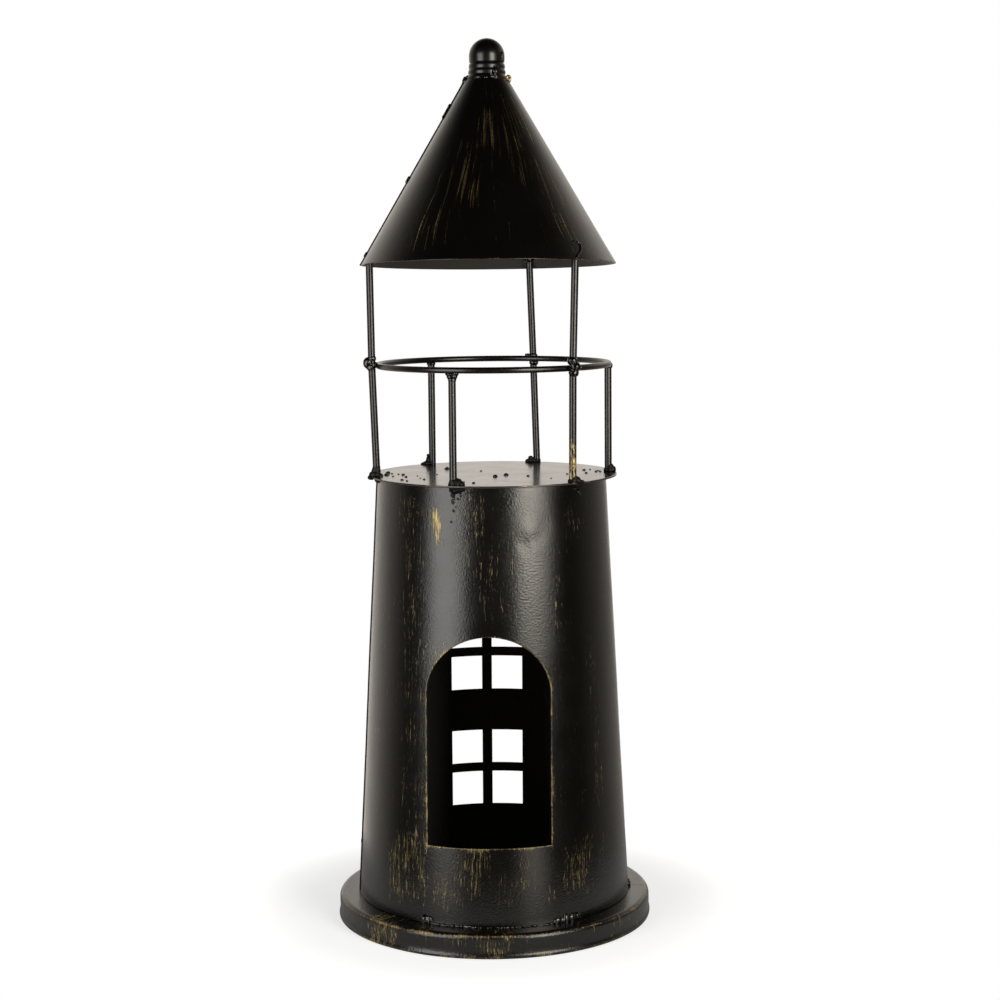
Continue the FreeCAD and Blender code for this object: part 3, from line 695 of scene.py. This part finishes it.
def laid_drops(name, drops, replaced, roughness=0.4):
    """Weld from drops, which are stretched balls: middle and three radii each, in millimetres."""
    mesh = bmesh.new()
    for x, y, z, wide, deep, tall in drops:
        shape = Matrix.Diagonal((wide * MM, deep * MM, tall * MM, 1))
        shape = Matrix.Translation(Vector((x, y, z)) * MM) @ shape
        bmesh.ops.create_icosphere(mesh, subdivisions=2, radius=1.0, matrix=shape)
    print(name, "is melted from", len(drops), "drops")
    return melted(name, mesh, replaced, roughness)


def ring_of(count, wide, tall):
    """Places round a small upright ring: across and up from its middle."""
    turns = [2 * pi * step / count for step in range(count)]
    return [(wide * cos(turn), tall * sin(turn)) for turn in turns]


# The beads inside the roof and the tower's tack are fine as they are, so copies of them are melted.
CAD_WELDS = (("roof_weld_beads", 0.9), ("tower_seam_tack", 0.5))
welds = []
for name, roughness in CAD_WELDS:
    data = nodes[name].data.copy()
    data.materials.clear()
    welds.append(melted("melted_" + name, data, name, roughness))
    print(name, "is melted from", len(data.vertices), "corners of the CAD mesh")

# %% [markdown]
# ## Runs of weld
#
# The tower is welded to its base in runs between thick tacks, some laid faster than others. Each run is
# a row of drops whose sizes wander. The roof's seam has three small tacks.

# %% Weld the foot and the seam
# Runs along the tower's foot: first and last plan angle, count, radius across and up.
FOOT_RUNS = ((239.8, 243.0, 5, 2.7, 4.4), (243.8, 262.0, 30, 1.0, 1.2), (262.0, 294.0, 70, 0.85, 0.7),
             (295.6, 298.8, 5, 2.0, 2.8), (300.4, 306.6, 10, 2.2, 3.8), (358.6, 361.4, 4, 1.8, 2.8))
# A run's drops sit this share of their height above the base. Their sizes start at a least share,
# and noise of the given scale adds up to WANDER.
FOOT_CLIMB = 0.3
LEAST, WANDER, WANDER_SCALE = 0.75, 0.5, 0.7
drops = []
for first, last, count, across, tall in FOOT_RUNS:
    for step in range(count):
        turn = radians(first + (last - first) * step / (count - 1))
        share = LEAST + WANDER * noise.noise(Vector((degrees(turn) * WANDER_SCALE, 0, 0)))
        drops.append((*polar(TOWER_FOOT, turn, TOWER_LOW + FOOT_CLIMB * tall),
                      across * share, across * share, tall * share))
welds.append(laid_drops("foot_welds", drops, "foot_weld_beads", 0.6))

# Tacks on the roof's seam: first and last share of its height, count and radius.
SEAM_TACKS = ((0.80, 0.865, 11, 0.7), (0.45, 0.475, 5, 0.65), (0.05, 0.065, 4, 0.6))
TACK_PROUD, TACK_STRETCH = 0.8, 1.4


def on_roof(turn, up, proud=0.0):
    """A place on the roof, from its angle in radians and its height along the axis."""
    return ROOF_LEAN @ polar(ROOF_RIM + (ROOF_TOP - ROOF_RIM) * up / ROOF_TALL + proud, turn, up)


drops = []
for first, last, count, radius in SEAM_TACKS:
    for step in range(count):
        up = ROOF_TALL * (first + (last - first) * step / (count - 1))
        drops.append((*on_roof(ROOF_ENDS[1], up, TACK_PROUD), radius, radius, radius * TACK_STRETCH))
welds.append(laid_drops("seam_tacks", drops, "roof_seam_tacks"))

# %% [markdown]
# Above the front post the arc burnt through the roof. The weld that filled the hole ran out on the
# outside as a thin hook. It is laid along a line of places, four drops from each one to the next.

# %% Lay the burnt hook
# Plan angle and height.
HOOK = ((313.6, 9.1), (314.8, 10.0), (316.2, 10.3), (317.4, 9.7), (317.9, 8.6), (317.6, 7.0), (316.8, 5.4),
        (315.4, 4.0), (313.8, 2.8), (312.4, 1.6), (311.4, 0.4))
HOOK_RADIUS, HOOK_PARTS = 0.85, 4
drops = []
for (turn, up), (turn_after, up_after) in zip(HOOK, HOOK[1:]):
    for part in range(HOOK_PARTS):
        here_turn = radians(turn + (turn_after - turn) * part / HOOK_PARTS)
        here_up = up + (up_after - up) * part / HOOK_PARTS
        drops.append((*on_roof(here_turn, here_up), HOOK_RADIUS, HOOK_RADIUS, HOOK_RADIUS))
welds.append(laid_drops("burn_hook", drops, "roof_burn_bead", 0.1))

# %% [markdown]
# ## Heaps at the posts
#
# Every post was tacked with one or two strokes of the arc, so each foot and head has a heap of its own.
# They are placed from the wire's middle, measured on the CAD mesh, because the posts lean.

# %% Heap weld at the feet and heads of the posts
WIRE_SLICE = 2.5


def wire_at(name, up):
    """The middle of a post's wire at a height, from the CAD mesh."""
    near = [vert.co / MM for vert in nodes[name].data.vertices if abs(vert.co.z / MM - up) < WIRE_SLICE]
    return sum(near, Vector()) / len(near)


# For each post the drops at its foot, then those at its head: across, deep and up from the wire, and
# three radii.
HEAPS = {
    "tall_post_left": (
        ((-1.0, 0, 0.9, 3.6, 3.4, 2.6), (-0.4, 0, 3.2, 2.7, 2.7, 2.6), (-0.2, 0, 5.2, 2.3, 2.3, 1.7),
         (1.2, -0.4, 0.3, 2.6, 2.4, 1.6), (-3.2, -1.0, -0.6, 2.2, 2.4, 1.4)),
        ((-1.9, 0, 1.9, 2.9, 2.7, 3.5), (-0.2, 0, -0.4, 2.6, 2.6, 3.0), (0.4, 0, 4.4, 2.4, 2.4, 2.2),
         (1.6, 0, 0.8, 2.2, 2.6, 2.0))),
    "tall_post_back": (
        ((-0.3, 0, 0.8, 2.7, 2.5, 2.2), (-2.8, 0, 0.9, 2.8, 2.5, 2.2), (-5.2, 0, 0.4, 1.9, 1.7, 1.6),
         (-3.8, -0.8, 2.6, 1.5, 1.4, 1.3)),
        ((0, -0.6, 1.4, 2.9, 2.5, 2.3), (0.5, -0.6, -2.4, 2.9, 2.5, 2.4), (-3.0, 0, 2.0, 2.0, 1.1, 1.0))),
    "tall_post_front": (
        ((0, 0, 0.7, 2.9, 2.6, 1.7), (2.4, 0, 0.9, 2.2, 2.1, 2.2), (4.6, 0.2, 0.2, 1.9, 1.6, 1.1),
         (0.6, 0, 2.4, 2.3, 2.3, 1.6)),
        ((-0.2, -0.4, 4.1, 2.9, 2.5, 2.7), (1.4, -0.6, 1.0, 3.1, 2.7, 2.8),
         (0.5, -0.4, -2.2, 2.9, 2.5, 2.8), (4.4, -0.8, 0.6, 0.9, 0.9, 0.9),
         (3.6, -0.6, 0.4, 1.2, 1.0, 0.8))),
    "short_post_back_left": (
        ((-1.9, 0, 0.6, 3.8, 2.8, 2.0), (-1.6, 0, 2.6, 2.4, 2.2, 2.7), (-4.9, 0, 0.2, 2.2, 2.0, 1.1),
         (-2.6, 0, 5.2, 0.9, 0.8, 1.0)),
        ((-0.1, 0, -2.3, 2.8, 2.4, 1.3), (0, 0, -3.8, 2.3, 2.2, 1.3))),
    "short_post_front_left": (
        ((0.6, 0, 0.2, 3.3, 2.9, 4.4), (2.0, 0, 0.2, 3.5, 2.8, 3.8), (3.8, -0.2, 0, 2.7, 2.4, 2.4),
         (-0.6, 0, 0.1, 2.3, 2.2, 2.2)),
        ((0, 0, -2.0, 3.9, 2.6, 1.5), (0, 0, -3.4, 3.1, 2.5, 1.9), (0, 0, -5.0, 2.4, 2.3, 1.9),
         (2.0, -1.4, -1.6, 1.3, 1.3, 1.1))),
    "short_post_right": (
        ((0.4, 0, 0.7, 3.3, 2.8, 2.0), (2.3, 0, 0.9, 2.2, 2.0, 2.5), (0.6, 0, 2.8, 2.5, 2.4, 2.2)),
        ((0.2, 0, -2.3, 2.5, 2.4, 1.4), (1.1, 0, -1.2, 1.6, 1.6, 1.6))),
}
RING_UP = 315.7
for end, (name, up, replaced) in enumerate((("deck_welds", DECK_TOP, "deck_weld_beads"),
                                            ("ring_welds", RING_UP, "ring_weld_beads"))):
    drops = []
    for post, heaps in HEAPS.items():
        wire = wire_at(post, up)
        drops += [(wire.x + x, wire.y + y, up + z, *radii) for x, y, z, *radii in heaps[end]]
    welds.append(laid_drops(name, drops, replaced))

# %% [markdown]
# At three feet the deck was burnt through as well, and weld hangs on the wall below its edge. Under the
# front left foot it ends in a tiny open ring.

# %% Hang weld under the deck's edge
# Each drop: plan angle, height, radii across and up.
HANGING = ((251.0, 251.4, 2.0, 1.6), (252.8, 251.2, 2.4, 2.1), (254.6, 251.6, 2.1, 1.9),
           (256.4, 251.8, 1.4, 1.2), (251.0, 248.6, 0.5, 1.2), (315.5, 252.0, 1.9, 1.6),
           (318.0, 252.2, 1.6, 1.3), (190.5, 252.0, 2.4, 2.0))
HANGING_DEPTH = 0.8
RING_TURN, RING_HANGS, RING_RADIUS, RING_DROP = 251.2, 248.6, 1.1, (0.5, 0.6, 0.5)


def on_wall(turn, up):
    """A place on the tower's wall, from its plan angle in degrees and its height."""
    return roll_tower(radians(turn - 360) * TOWER_PATTERN, up, 0)


drops = []
for turn, up, across, tall in HANGING:
    drops.append((*on_wall(turn, up), across, across * HANGING_DEPTH, tall))
for across, up in ring_of(12, RING_RADIUS, RING_RADIUS):
    turn = RING_TURN + degrees(across / TOWER_PATTERN)
    drops.append((*on_wall(turn, RING_HANGS + up), *RING_DROP))
welds.append(laid_drops("hanging_welds", drops, "edge_weld_beads"))

# %% [markdown]
# ## Weld at the finial
#
# The collar was tacked to the roof in the same way. On its right hangs a small loop of thin brazed
# wire, which the CAD model leaves out.

# %% Weld the finial and bend the loop
# Each drop: across, deep and up from the middle of the roof's top, then three radii.
FINIAL_HEAP = (
    (-11.8, 0, -0.4, 2.1, 2.4, 2.9), (-12.8, 0, -2.8, 1.6, 1.8, 2.4), (-10.6, -1.0, 1.6, 1.1, 1.2, 1.3),
    (-2.2, -11.5, 1.0, 2.6, 0.6, 0.5), (-0.6, -11.5, -0.2, 1.1, 0.6, 2.0), (1.6, -11.4, 1.2, 2.0, 0.6, 0.6),
    (3.4, -11.2, 2.6, 1.9, 0.7, 0.7), (4.6, -10.8, 4.2, 1.3, 0.7, 1.5), (4.9, -10.8, 1.0, 1.0, 0.7, 1.8),
    (3.0, -11.3, -0.6, 1.9, 0.7, 0.6), (5.6, -10.2, 6.6, 1.2, 0.6, 0.6), (8.5, -4.4, 12.8, 0.7, 0.9, 3.0))
roof_top = ROOF_LEAN @ Vector((0, 0, ROOF_TALL))
drops = [(roof_top.x + x, roof_top.y + y, roof_top.z + z, *radii) for x, y, z, *radii in FINIAL_HEAP]
welds.append(laid_drops("finial_welds", drops, "finial_weld_beads"))

LOOP_MIDDLE, LOOP_WIDE, LOOP_TALL, LOOP_WIRE = Vector((11.9, -3.0, 0.4)), 0.9, 1.7, 0.8
drops = []
for x, z in ring_of(16, LOOP_WIDE, LOOP_TALL):
    drops.append((*(roof_top + LOOP_MIDDLE + Vector((x, 0, z))), LOOP_WIRE, LOOP_WIRE, LOOP_WIRE))
finial_loop = laid_drops("finial_loop", drops, None, 0.2)

# %% [markdown]
# ## Spatter
#
# While the posts were welded on, small drops flew off, landed on the deck and ran down the wall. Each
# is a little ball, made lumpy and flattened against the face that it hit.

# %% Scatter the spatter
# Drops on the deck: across, deep and radius.
DECK_SPATTER = (
    (2.8, -19.6, 1.25), (8.7, -11.6, 1.2), (-25.3, 24.5, 1.3), (-58.4, 5.0, 1.1), (-58.7, -5.9, 1.3),
    (-49.3, -6.7, 0.9), (-47.2, -17.5, 0.75), (-48.7, -33.1, 0.75), (-45.7, -38.5, 0.6), (-61.2, -16.3, 0.7),
    (-36.6, -31.5, 0.65), (-5.5, 11.5, 0.6), (21.0, -18.0, 0.75), (43.1, -9.2, 0.6), (53.5, 12.0, 0.8),
    (53.9, -4.7, 0.75), (60.0, 3.1, 0.8), (62.2, 2.9, 0.7), (61.3, 8.5, 0.5), (-14.3, -46.1, 0.5),
    (-9.0, -52.0, 0.8), (-52.1, -2.4, 0.55), (-54.6, -13.9, 0.6), (-41.0, -12.6, 0.4), (-30.2, -6.1, 0.45),
    (46.9, -14.7, 0.4), (-38.9, -24.9, 0.4), (33.5, -31.0, 0.45), (-56.0, 1.0, 0.5), (57.0, 14.0, 0.5))
# Drops on the wall: plan angle, height and radius.
WALL_SPATTER = ((251.9, 246.7, 0.65), (251.2, 245.7, 0.75), (251.4, 244.4, 0.75), (253.9, 246.6, 0.65),
                (251.7, 240.2, 0.7), (250.6, 234.1, 0.6), (255.1, 248.8, 0.8), (258.6, 249.9, 0.6),
                (261.4, 248.6, 0.5), (316.8, 247.9, 1.0), (318.5, 246.5, 0.6), (229.6, 245.5, 0.5),
                (314.5, 249.6, 0.7), (252.8, 242.2, 0.4))
DROP_SWELL, DROP_LUMPS, DROP_FLAT = 1.25, 0.35, 0.25


def splash(mesh, spot, out, radius, seed):
    """One lumpy drop, flattened against the face that it hit."""
    made = bmesh.ops.create_icosphere(mesh, subdivisions=2, radius=1.0)["verts"]
    for vert in made:
        lumpy = 1 + DROP_LUMPS * noise.noise(vert.co * 1.3 + Vector((seed, 0, 0)))
        shape = vert.co * radius * DROP_SWELL * lumpy
        vert.co = (spot + shape - out * DROP_FLAT * shape.dot(out)) * MM


spatter = bmesh.new()
for seed, (x, y, radius) in enumerate(DECK_SPATTER):
    splash(spatter, Vector((x, y, DECK_TOP)), Vector((0, 0, 1)), radius, seed * 3.7)
for seed, (turn, up, radius) in enumerate(WALL_SPATTER):
    out = polar(1, radians(turn), 0)
    splash(spatter, on_wall(turn, up), out, radius, seed * 5.3)
spatter = placed("spatter", spatter)
spatter.data.shade_smooth()
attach(spatter, "root")
print("spatter:", len(DECK_SPATTER) + len(WALL_SPATTER), "drops")

# %% [markdown]
# ## Where the brush went
#
# The brass paint was dragged on quickly by hand, so it sits in patches and not all over. Each patch is
# a window of plan angle and height with a strength and ragged ends. The windows are laid over each
# other and kept at every spot of the mesh; the fine strokes come from the material.

# %% Lay down the brushed patches
# Each row: first and last plan angle in degrees, lowest and highest place, strength.
TOWER_PATCHES = (
    (240.5, 243.5, 232, 242, 1.9), (242, 245.5, 226, 239, 2.3), (243.5, 246, 222, 230, 1.9),
    (219, 231, 230, 248, 0.6), (223, 239, 168, 214, 0.5), (225, 241, 128, 170, 0.5),
    (222, 238, 210, 238, 0.5), (231, 237.5, 234, 246, 0.75), (253, 267, 203, 247, 0.58),
    (262, 276, 178, 222, 0.46), (270, 280, 203, 228, 0.34), (307, 318, 224, 246, 0.35),
    (298, 304, 172, 206, 0.45), (243, 250, 156, 168, 0.75), (219, 241, 24, 64, 0.85),
    (226, 242, 60, 126, 0.4), (244, 252, 22, 43, 0.75), (254, 269, 36, 57, 0.75),
    (253, 257, 24, 32, 0.9), (259, 266, 28, 46, 0.75), (273, 278, 25, 41, 0.7), (281, 289, 31, 53, 0.65),
    (293, 295, 26, 34, 1.1), (300, 317, 28, 58, 0.66), (319, 326, 30, 160, 0.42), (20, 45, 90, 170, 0.6),
    (60, 85, 190, 235, 0.7), (95, 130, 60, 110, 0.6), (140, 160, 150, 230, 0.6), (345, 365, 130, 220, 0.5),
    (0, 18, 30, 70, 0.7), (75, 110, 20, 45, 0.6), (110, 125, 180, 240, 0.6))
ROOF_PATCHES = (
    (233, 263, 26, 64, 0.66), (225, 251, 4, 34, 0.58), (254, 262, 31, 44, 0.8), (262, 279, 58, 88, 0.6),
    (286, 304, 42, 76, 0.58), (290, 335, 68, 94, 0.65), (303, 331, 8, 58, 0.56), (200, 224, 10, 60, 0.35),
    (20, 55, 20, 70, 0.6), (80, 110, 30, 80, 0.6), (130, 165, 10, 50, 0.5), (340, 360, 30, 60, 0.5))
BASE_PATCHES = (
    (218, 234, 1, 14, 1.05), (242, 247, 9, 14, 0.95), (252, 260, 4, 13, 0.75), (263, 277, 2, 14, 0.85),
    (306, 311, 8, 13, 0.8), (316, 334, 3, 13, 0.6), (200, 218, 2, 10, 0.4), (277, 300, 2, 8, 0.4),
    (20, 60, 2, 14, 0.7), (100, 140, 2, 14, 0.7), (160, 185, 2, 12, 0.5))
# How soft a patch's ends are, in degrees and millimetres, and how far they wander up and down: a share
# of its height, up to a most in millimetres.
ANGLE_FADE, HEIGHT_FADE = 2.2, 3.0
RAGGED_SHARE, RAGGED_MOST, RAGGED_SCALE = 0.3, 12.0, (0.21, 0.21, 0.015)
# Spots less deep than this in the sheet are on its outer face.
OUTER_FACE = 0.3


def window(value, low, high, blur):
    """1 between low and high and 0 outside, with soft ends."""
    return min(soft(value, low - blur, low + blur), soft(-value, -high - blur, -high + blur))


def brush_on(thing, patches, upright=Matrix()):
    """Keep at every spot of a piece's outer face how much brass the brush left there."""
    layer = thing.data.attributes.new("brushed", "FLOAT", "POINT")
    flat = thing.data.attributes["flat"].data
    for vert in thing.data.vertices:
        if flat[vert.index].vector.z > OUTER_FACE:
            continue
        spot = upright @ (vert.co / MM)
        turn = degrees(atan2(spot.y, spot.x)) % 360
        ragged = noise.noise(Vector(a * b for a, b in zip(spot, RAGGED_SCALE)))
        most = 0.0
        for first, last, low, high, strength in patches:
            if first - ANGLE_FADE < turn < last + ANGLE_FADE:
                up = spot.z + ragged * min(RAGGED_MOST, RAGGED_SHARE * (high - low))
                share = min(window(turn, first, last, ANGLE_FADE), window(up, low, high, HEIGHT_FADE))
                most = max(most, strength * share)
        layer.data[vert.index].value = most


brush_on(tower, TOWER_PATCHES)
brush_on(roof, ROOF_PATCHES, ROOF_LEAN.inverted())
brush_on(base, BASE_PATCHES)
print("patches:", len(TOWER_PATCHES) + len(ROOF_PATCHES) + len(BASE_PATCHES))

# %% [markdown]
# ## The paint
#
# Every piece has the same two coats. The first is black gloss, sprayed on thickly enough to dry
# with an orange-peel skin. The second is brass paint from a dry brush: short fine strokes that
# catch only the high spots, and a rub along every edge.
#
# Strokes are noise on a stretched place, so round clouds turn into long ones, and where a cloud is
# thick enough there is brass. A second, round cloud makes the brush skip. The share kept on the mesh
# lowers both bars. On rubbed edges the brass stays in chips that gather in clumps. Every scale
# counts lumps per millimetre.

# %% Lay strokes and rub edges
STROKE_START, STROKE_BAR = -0.3, (0.68, 0.82)
SKIP_BAR = (0.36, 0.60)
CHIP_BAR = (1.02, 1.18)
SWEEP = 8.0


def cloud(tree, spot, scale, detail=1.0, roughness=0.5):
    """Noise between 0 and 1."""
    return wired(tree, "TexNoise", {"Vector": spot, "Scale": scale, "Detail": detail, "Roughness": roughness})


def stretched(tree, spot, size):
    """Bend a place slowly sideways and stretch it."""
    bend = times(tree, cloud(tree, spot, 0.02), SWEEP)
    swept = wired(tree, "VectorMath", {0: spot, 1: wired(tree, "CombineXYZ", {"X": bend})})
    return wired(tree, "VectorMath", {0: swept, 1: size}, operation="MULTIPLY")


def dry_brush(tree, spot, along, brushed, brass):
    """How far the dry brush covered a spot."""
    reach = plus(tree, brass + STROKE_START, brushed, 0.19)
    reach = plus(tree, reach, cloud(tree, along, 0.2, 2.0), 0.6)
    strokes = sums(tree, "ADD", cloud(tree, along, 1.0, 3.0, 0.65), reach)
    skips = plus(tree, cloud(tree, spot, 1.0, 2.0, 0.7), brushed, 0.08)
    return times(tree, fade(tree, strokes, *STROKE_BAR), fade(tree, skips, *SKIP_BAR))


def rubbed_edge(tree, spot, brushed, worn, wear):
    """How far a worn edge is covered with chips of brass."""
    chips = plus(tree, cloud(tree, spot, 0.6, 4.0, 0.8), brushed, 0.12)
    chips = plus(tree, chips, cloud(tree, spot, 0.07), 0.7)
    chips = plus(tree, chips, worn, 0.16)
    return times(tree, fade(tree, worn, 0.2, 1.0), fade(tree, chips, *CHIP_BAR, 0.0, wear))


# %% [markdown]
# The index of the gloss says how strongly it mirrors the room. The orange peel is a bump of two clouds,
# with the strokes standing a little proud, and the roughness drifts slowly. A sheet's inner face got
# one thin, duller coat, and its colour is a dark grey lighter than the black: painted fill light for
# the shaded inside of the tower and roof.

# %% A function for brushed gloss paint
BLACK = (0.0024, 0.0017, 0.0012, 1)
BRASS = (0.62, 0.46, 0.18, 1)
DIM_BRASS = (0.10, 0.07, 0.028, 1)
# The inner face's colour is a dark grey lighter than the black paint: painted fill light for the shaded
# inside.
INNER_COAT_AND_PAINTED_FILL = (0.045, 0.039, 0.034, 1)
GLOSS_TINT = (1.0, 0.96, 0.90, 1)
PEEL_DEPTH = 0.115
HAZE = (-0.012, 0.028)


def brushed_gloss(name, flat, stroke=(3.7, 0.2), brass=-0.005, wear=1.0, peel=1.0, gloss=0.225,
                  shine=(0.47, 0.73), mirror=1.6, patch=None):
    """Black gloss with brass strokes.

    flat says whether the piece keeps its flat pattern, stroke gives strokes per millimetre across and
    along, brass adds strokes everywhere, shine says how many of them are bright, mirror how strongly
    the paint mirrors the room, and patch is a pair of heights between which strokes come in."""
    material = new_material(name)
    tree = material.node_tree
    if flat:
        spot = wired(tree, "Attribute", output=1, attribute_name="flat")
        size = (stroke[0], stroke[1], stroke[1])
    else:
        spot = wired(tree, "VectorMath", {0: wired(tree, "TexCoord", output=3), 3: 1 / MM}, operation="SCALE")
        size = (stroke[0], stroke[0], stroke[1])
    brushed = wired(tree, "Attribute", output=2, attribute_name="brushed")
    worn = wired(tree, "Attribute", output=2, attribute_name="worn")
    if patch:
        brushed = fade(tree, wired(tree, "SeparateXYZ", {0: spot}, output=2), *patch, 0.0, 1.5)
    along = stretched(tree, spot, size)
    caught = dry_brush(tree, spot, along, brushed, brass)
    covered = sums(tree, "MAXIMUM", caught, rubbed_edge(tree, spot, brushed, worn, wear))

    tone = plus(tree, cloud(tree, along, 0.6, 2.0), brushed, 0.07)
    coat = colour(tree, covered, BLACK, colour(tree, fade(tree, tone, *shine), DIM_BRASS, BRASS))
    rough = fade(tree, cloud(tree, spot, 0.05, 3.0), 0.3, 0.7, gloss + HAZE[0], gloss + HAZE[1])
    rough = plus(tree, rough, covered, 0.18)
    if flat:
        # The inner face: a duller coat, and a lighter colour that is painted fill light for the shaded
        # inside.
        inside = ramp(tree, wired(tree, "SeparateXYZ", {0: spot}, output=2), 0.4, 0.6)
        coat = colour(tree, inside, coat, INNER_COAT_AND_PAINTED_FILL)
        rough = plus(tree, rough, inside, 0.3)
    skin = plus(tree, cloud(tree, spot, 1.0), cloud(tree, spot, 0.4), 0.25)
    skin = plus(tree, skin, covered, 0.12)
    skin = wired(tree, "Bump", {"Height": skin, "Strength": 1.0, "Distance": PEEL_DEPTH * peel * MM})
    paint = wired(tree, "BsdfPrincipled", {
        "Base Color": coat, "Metallic": times(tree, covered, 0.5), "Roughness": rough,
        "IOR": mirror, "Specular Tint": GLOSS_TINT, "Normal": skin})
    wired(tree, "OutputMaterial", {"Surface": paint})
    return material


# %% [markdown]
# The roof was brushed in long strokes and the base in short ones. The deck, wires and turned pieces
# show hardly any peel. The front post caught a patch of brass at its foot, the burnt weld is dull,
# and the little loop is nearly bare.

# %% Paint every piece
FINISHES = {
    "tower": {},
    "roof": {"stroke": (2.6, 0.035), "shine": (0.52, 0.84), "peel": 0.4},
    "base": {"stroke": (2.6, 0.24), "gloss": 0.25},
    "deck": {"stroke": (0.6, 0.6), "brass": -0.12, "peel": 0.015, "gloss": 0.17},
    "wire": {"stroke": (1.2, 0.25), "brass": -0.02, "peel": 0.015, "gloss": 0.27},
    "front_post": {"stroke": (1.0, 0.3), "brass": 0.0, "peel": 0.015, "gloss": 0.27, "patch": (288.0, 268.0)},
    "turned": {"stroke": (0.9, 0.5), "brass": -0.06, "wear": 0.0, "peel": 0.15, "gloss": 0.27},
    "weld": {"stroke": (1.1, 1.1), "brass": -0.02, "peel": 0.5, "gloss": 0.13},
    "burnt": {"stroke": (1.1, 1.1), "brass": -0.06, "peel": 0.5, "gloss": 0.42, "mirror": 1.33},
    "brazed": {"stroke": (0.6, 0.6), "brass": 0.34, "peel": 0.5, "gloss": 0.13, "shine": (0.2, 0.4)},
}
ROLLED = ("tower", "roof", "base", "deck")
BURNT_WELDS = ("deck_welds", "hanging_welds")
paints = {name: brushed_gloss(name + "_paint", name in ROLLED, **finish) for name, finish in FINISHES.items()}
painted = [(tower, "tower"), (roof, "roof"), (base, "base"), (deck, "deck"), (collar, "turned"),
           (ball, "turned"), (spatter, "weld"), (finial_loop, "brazed")]
painted += [(weld, "burnt" if weld.name in BURNT_WELDS else "weld") for weld in welds]
for thing, finish in painted:
    thing.data.materials.append(paints[finish])

# The CAD pieces keep their slots: those with no stand-in are seen, so they are painted too.
CAD_FINISHES = {"sheet": "tower", "wire": "wire", "finial": "turned", "weld": "weld"}
for name, node in nodes.items():
    for slot in node.material_slots:
        finish = CAD_FINISHES[slot.material.name.split(".")[0]]
        slot.material = paints["front_post" if name == "tall_post_front" else finish]
print("finishes:", len(paints))
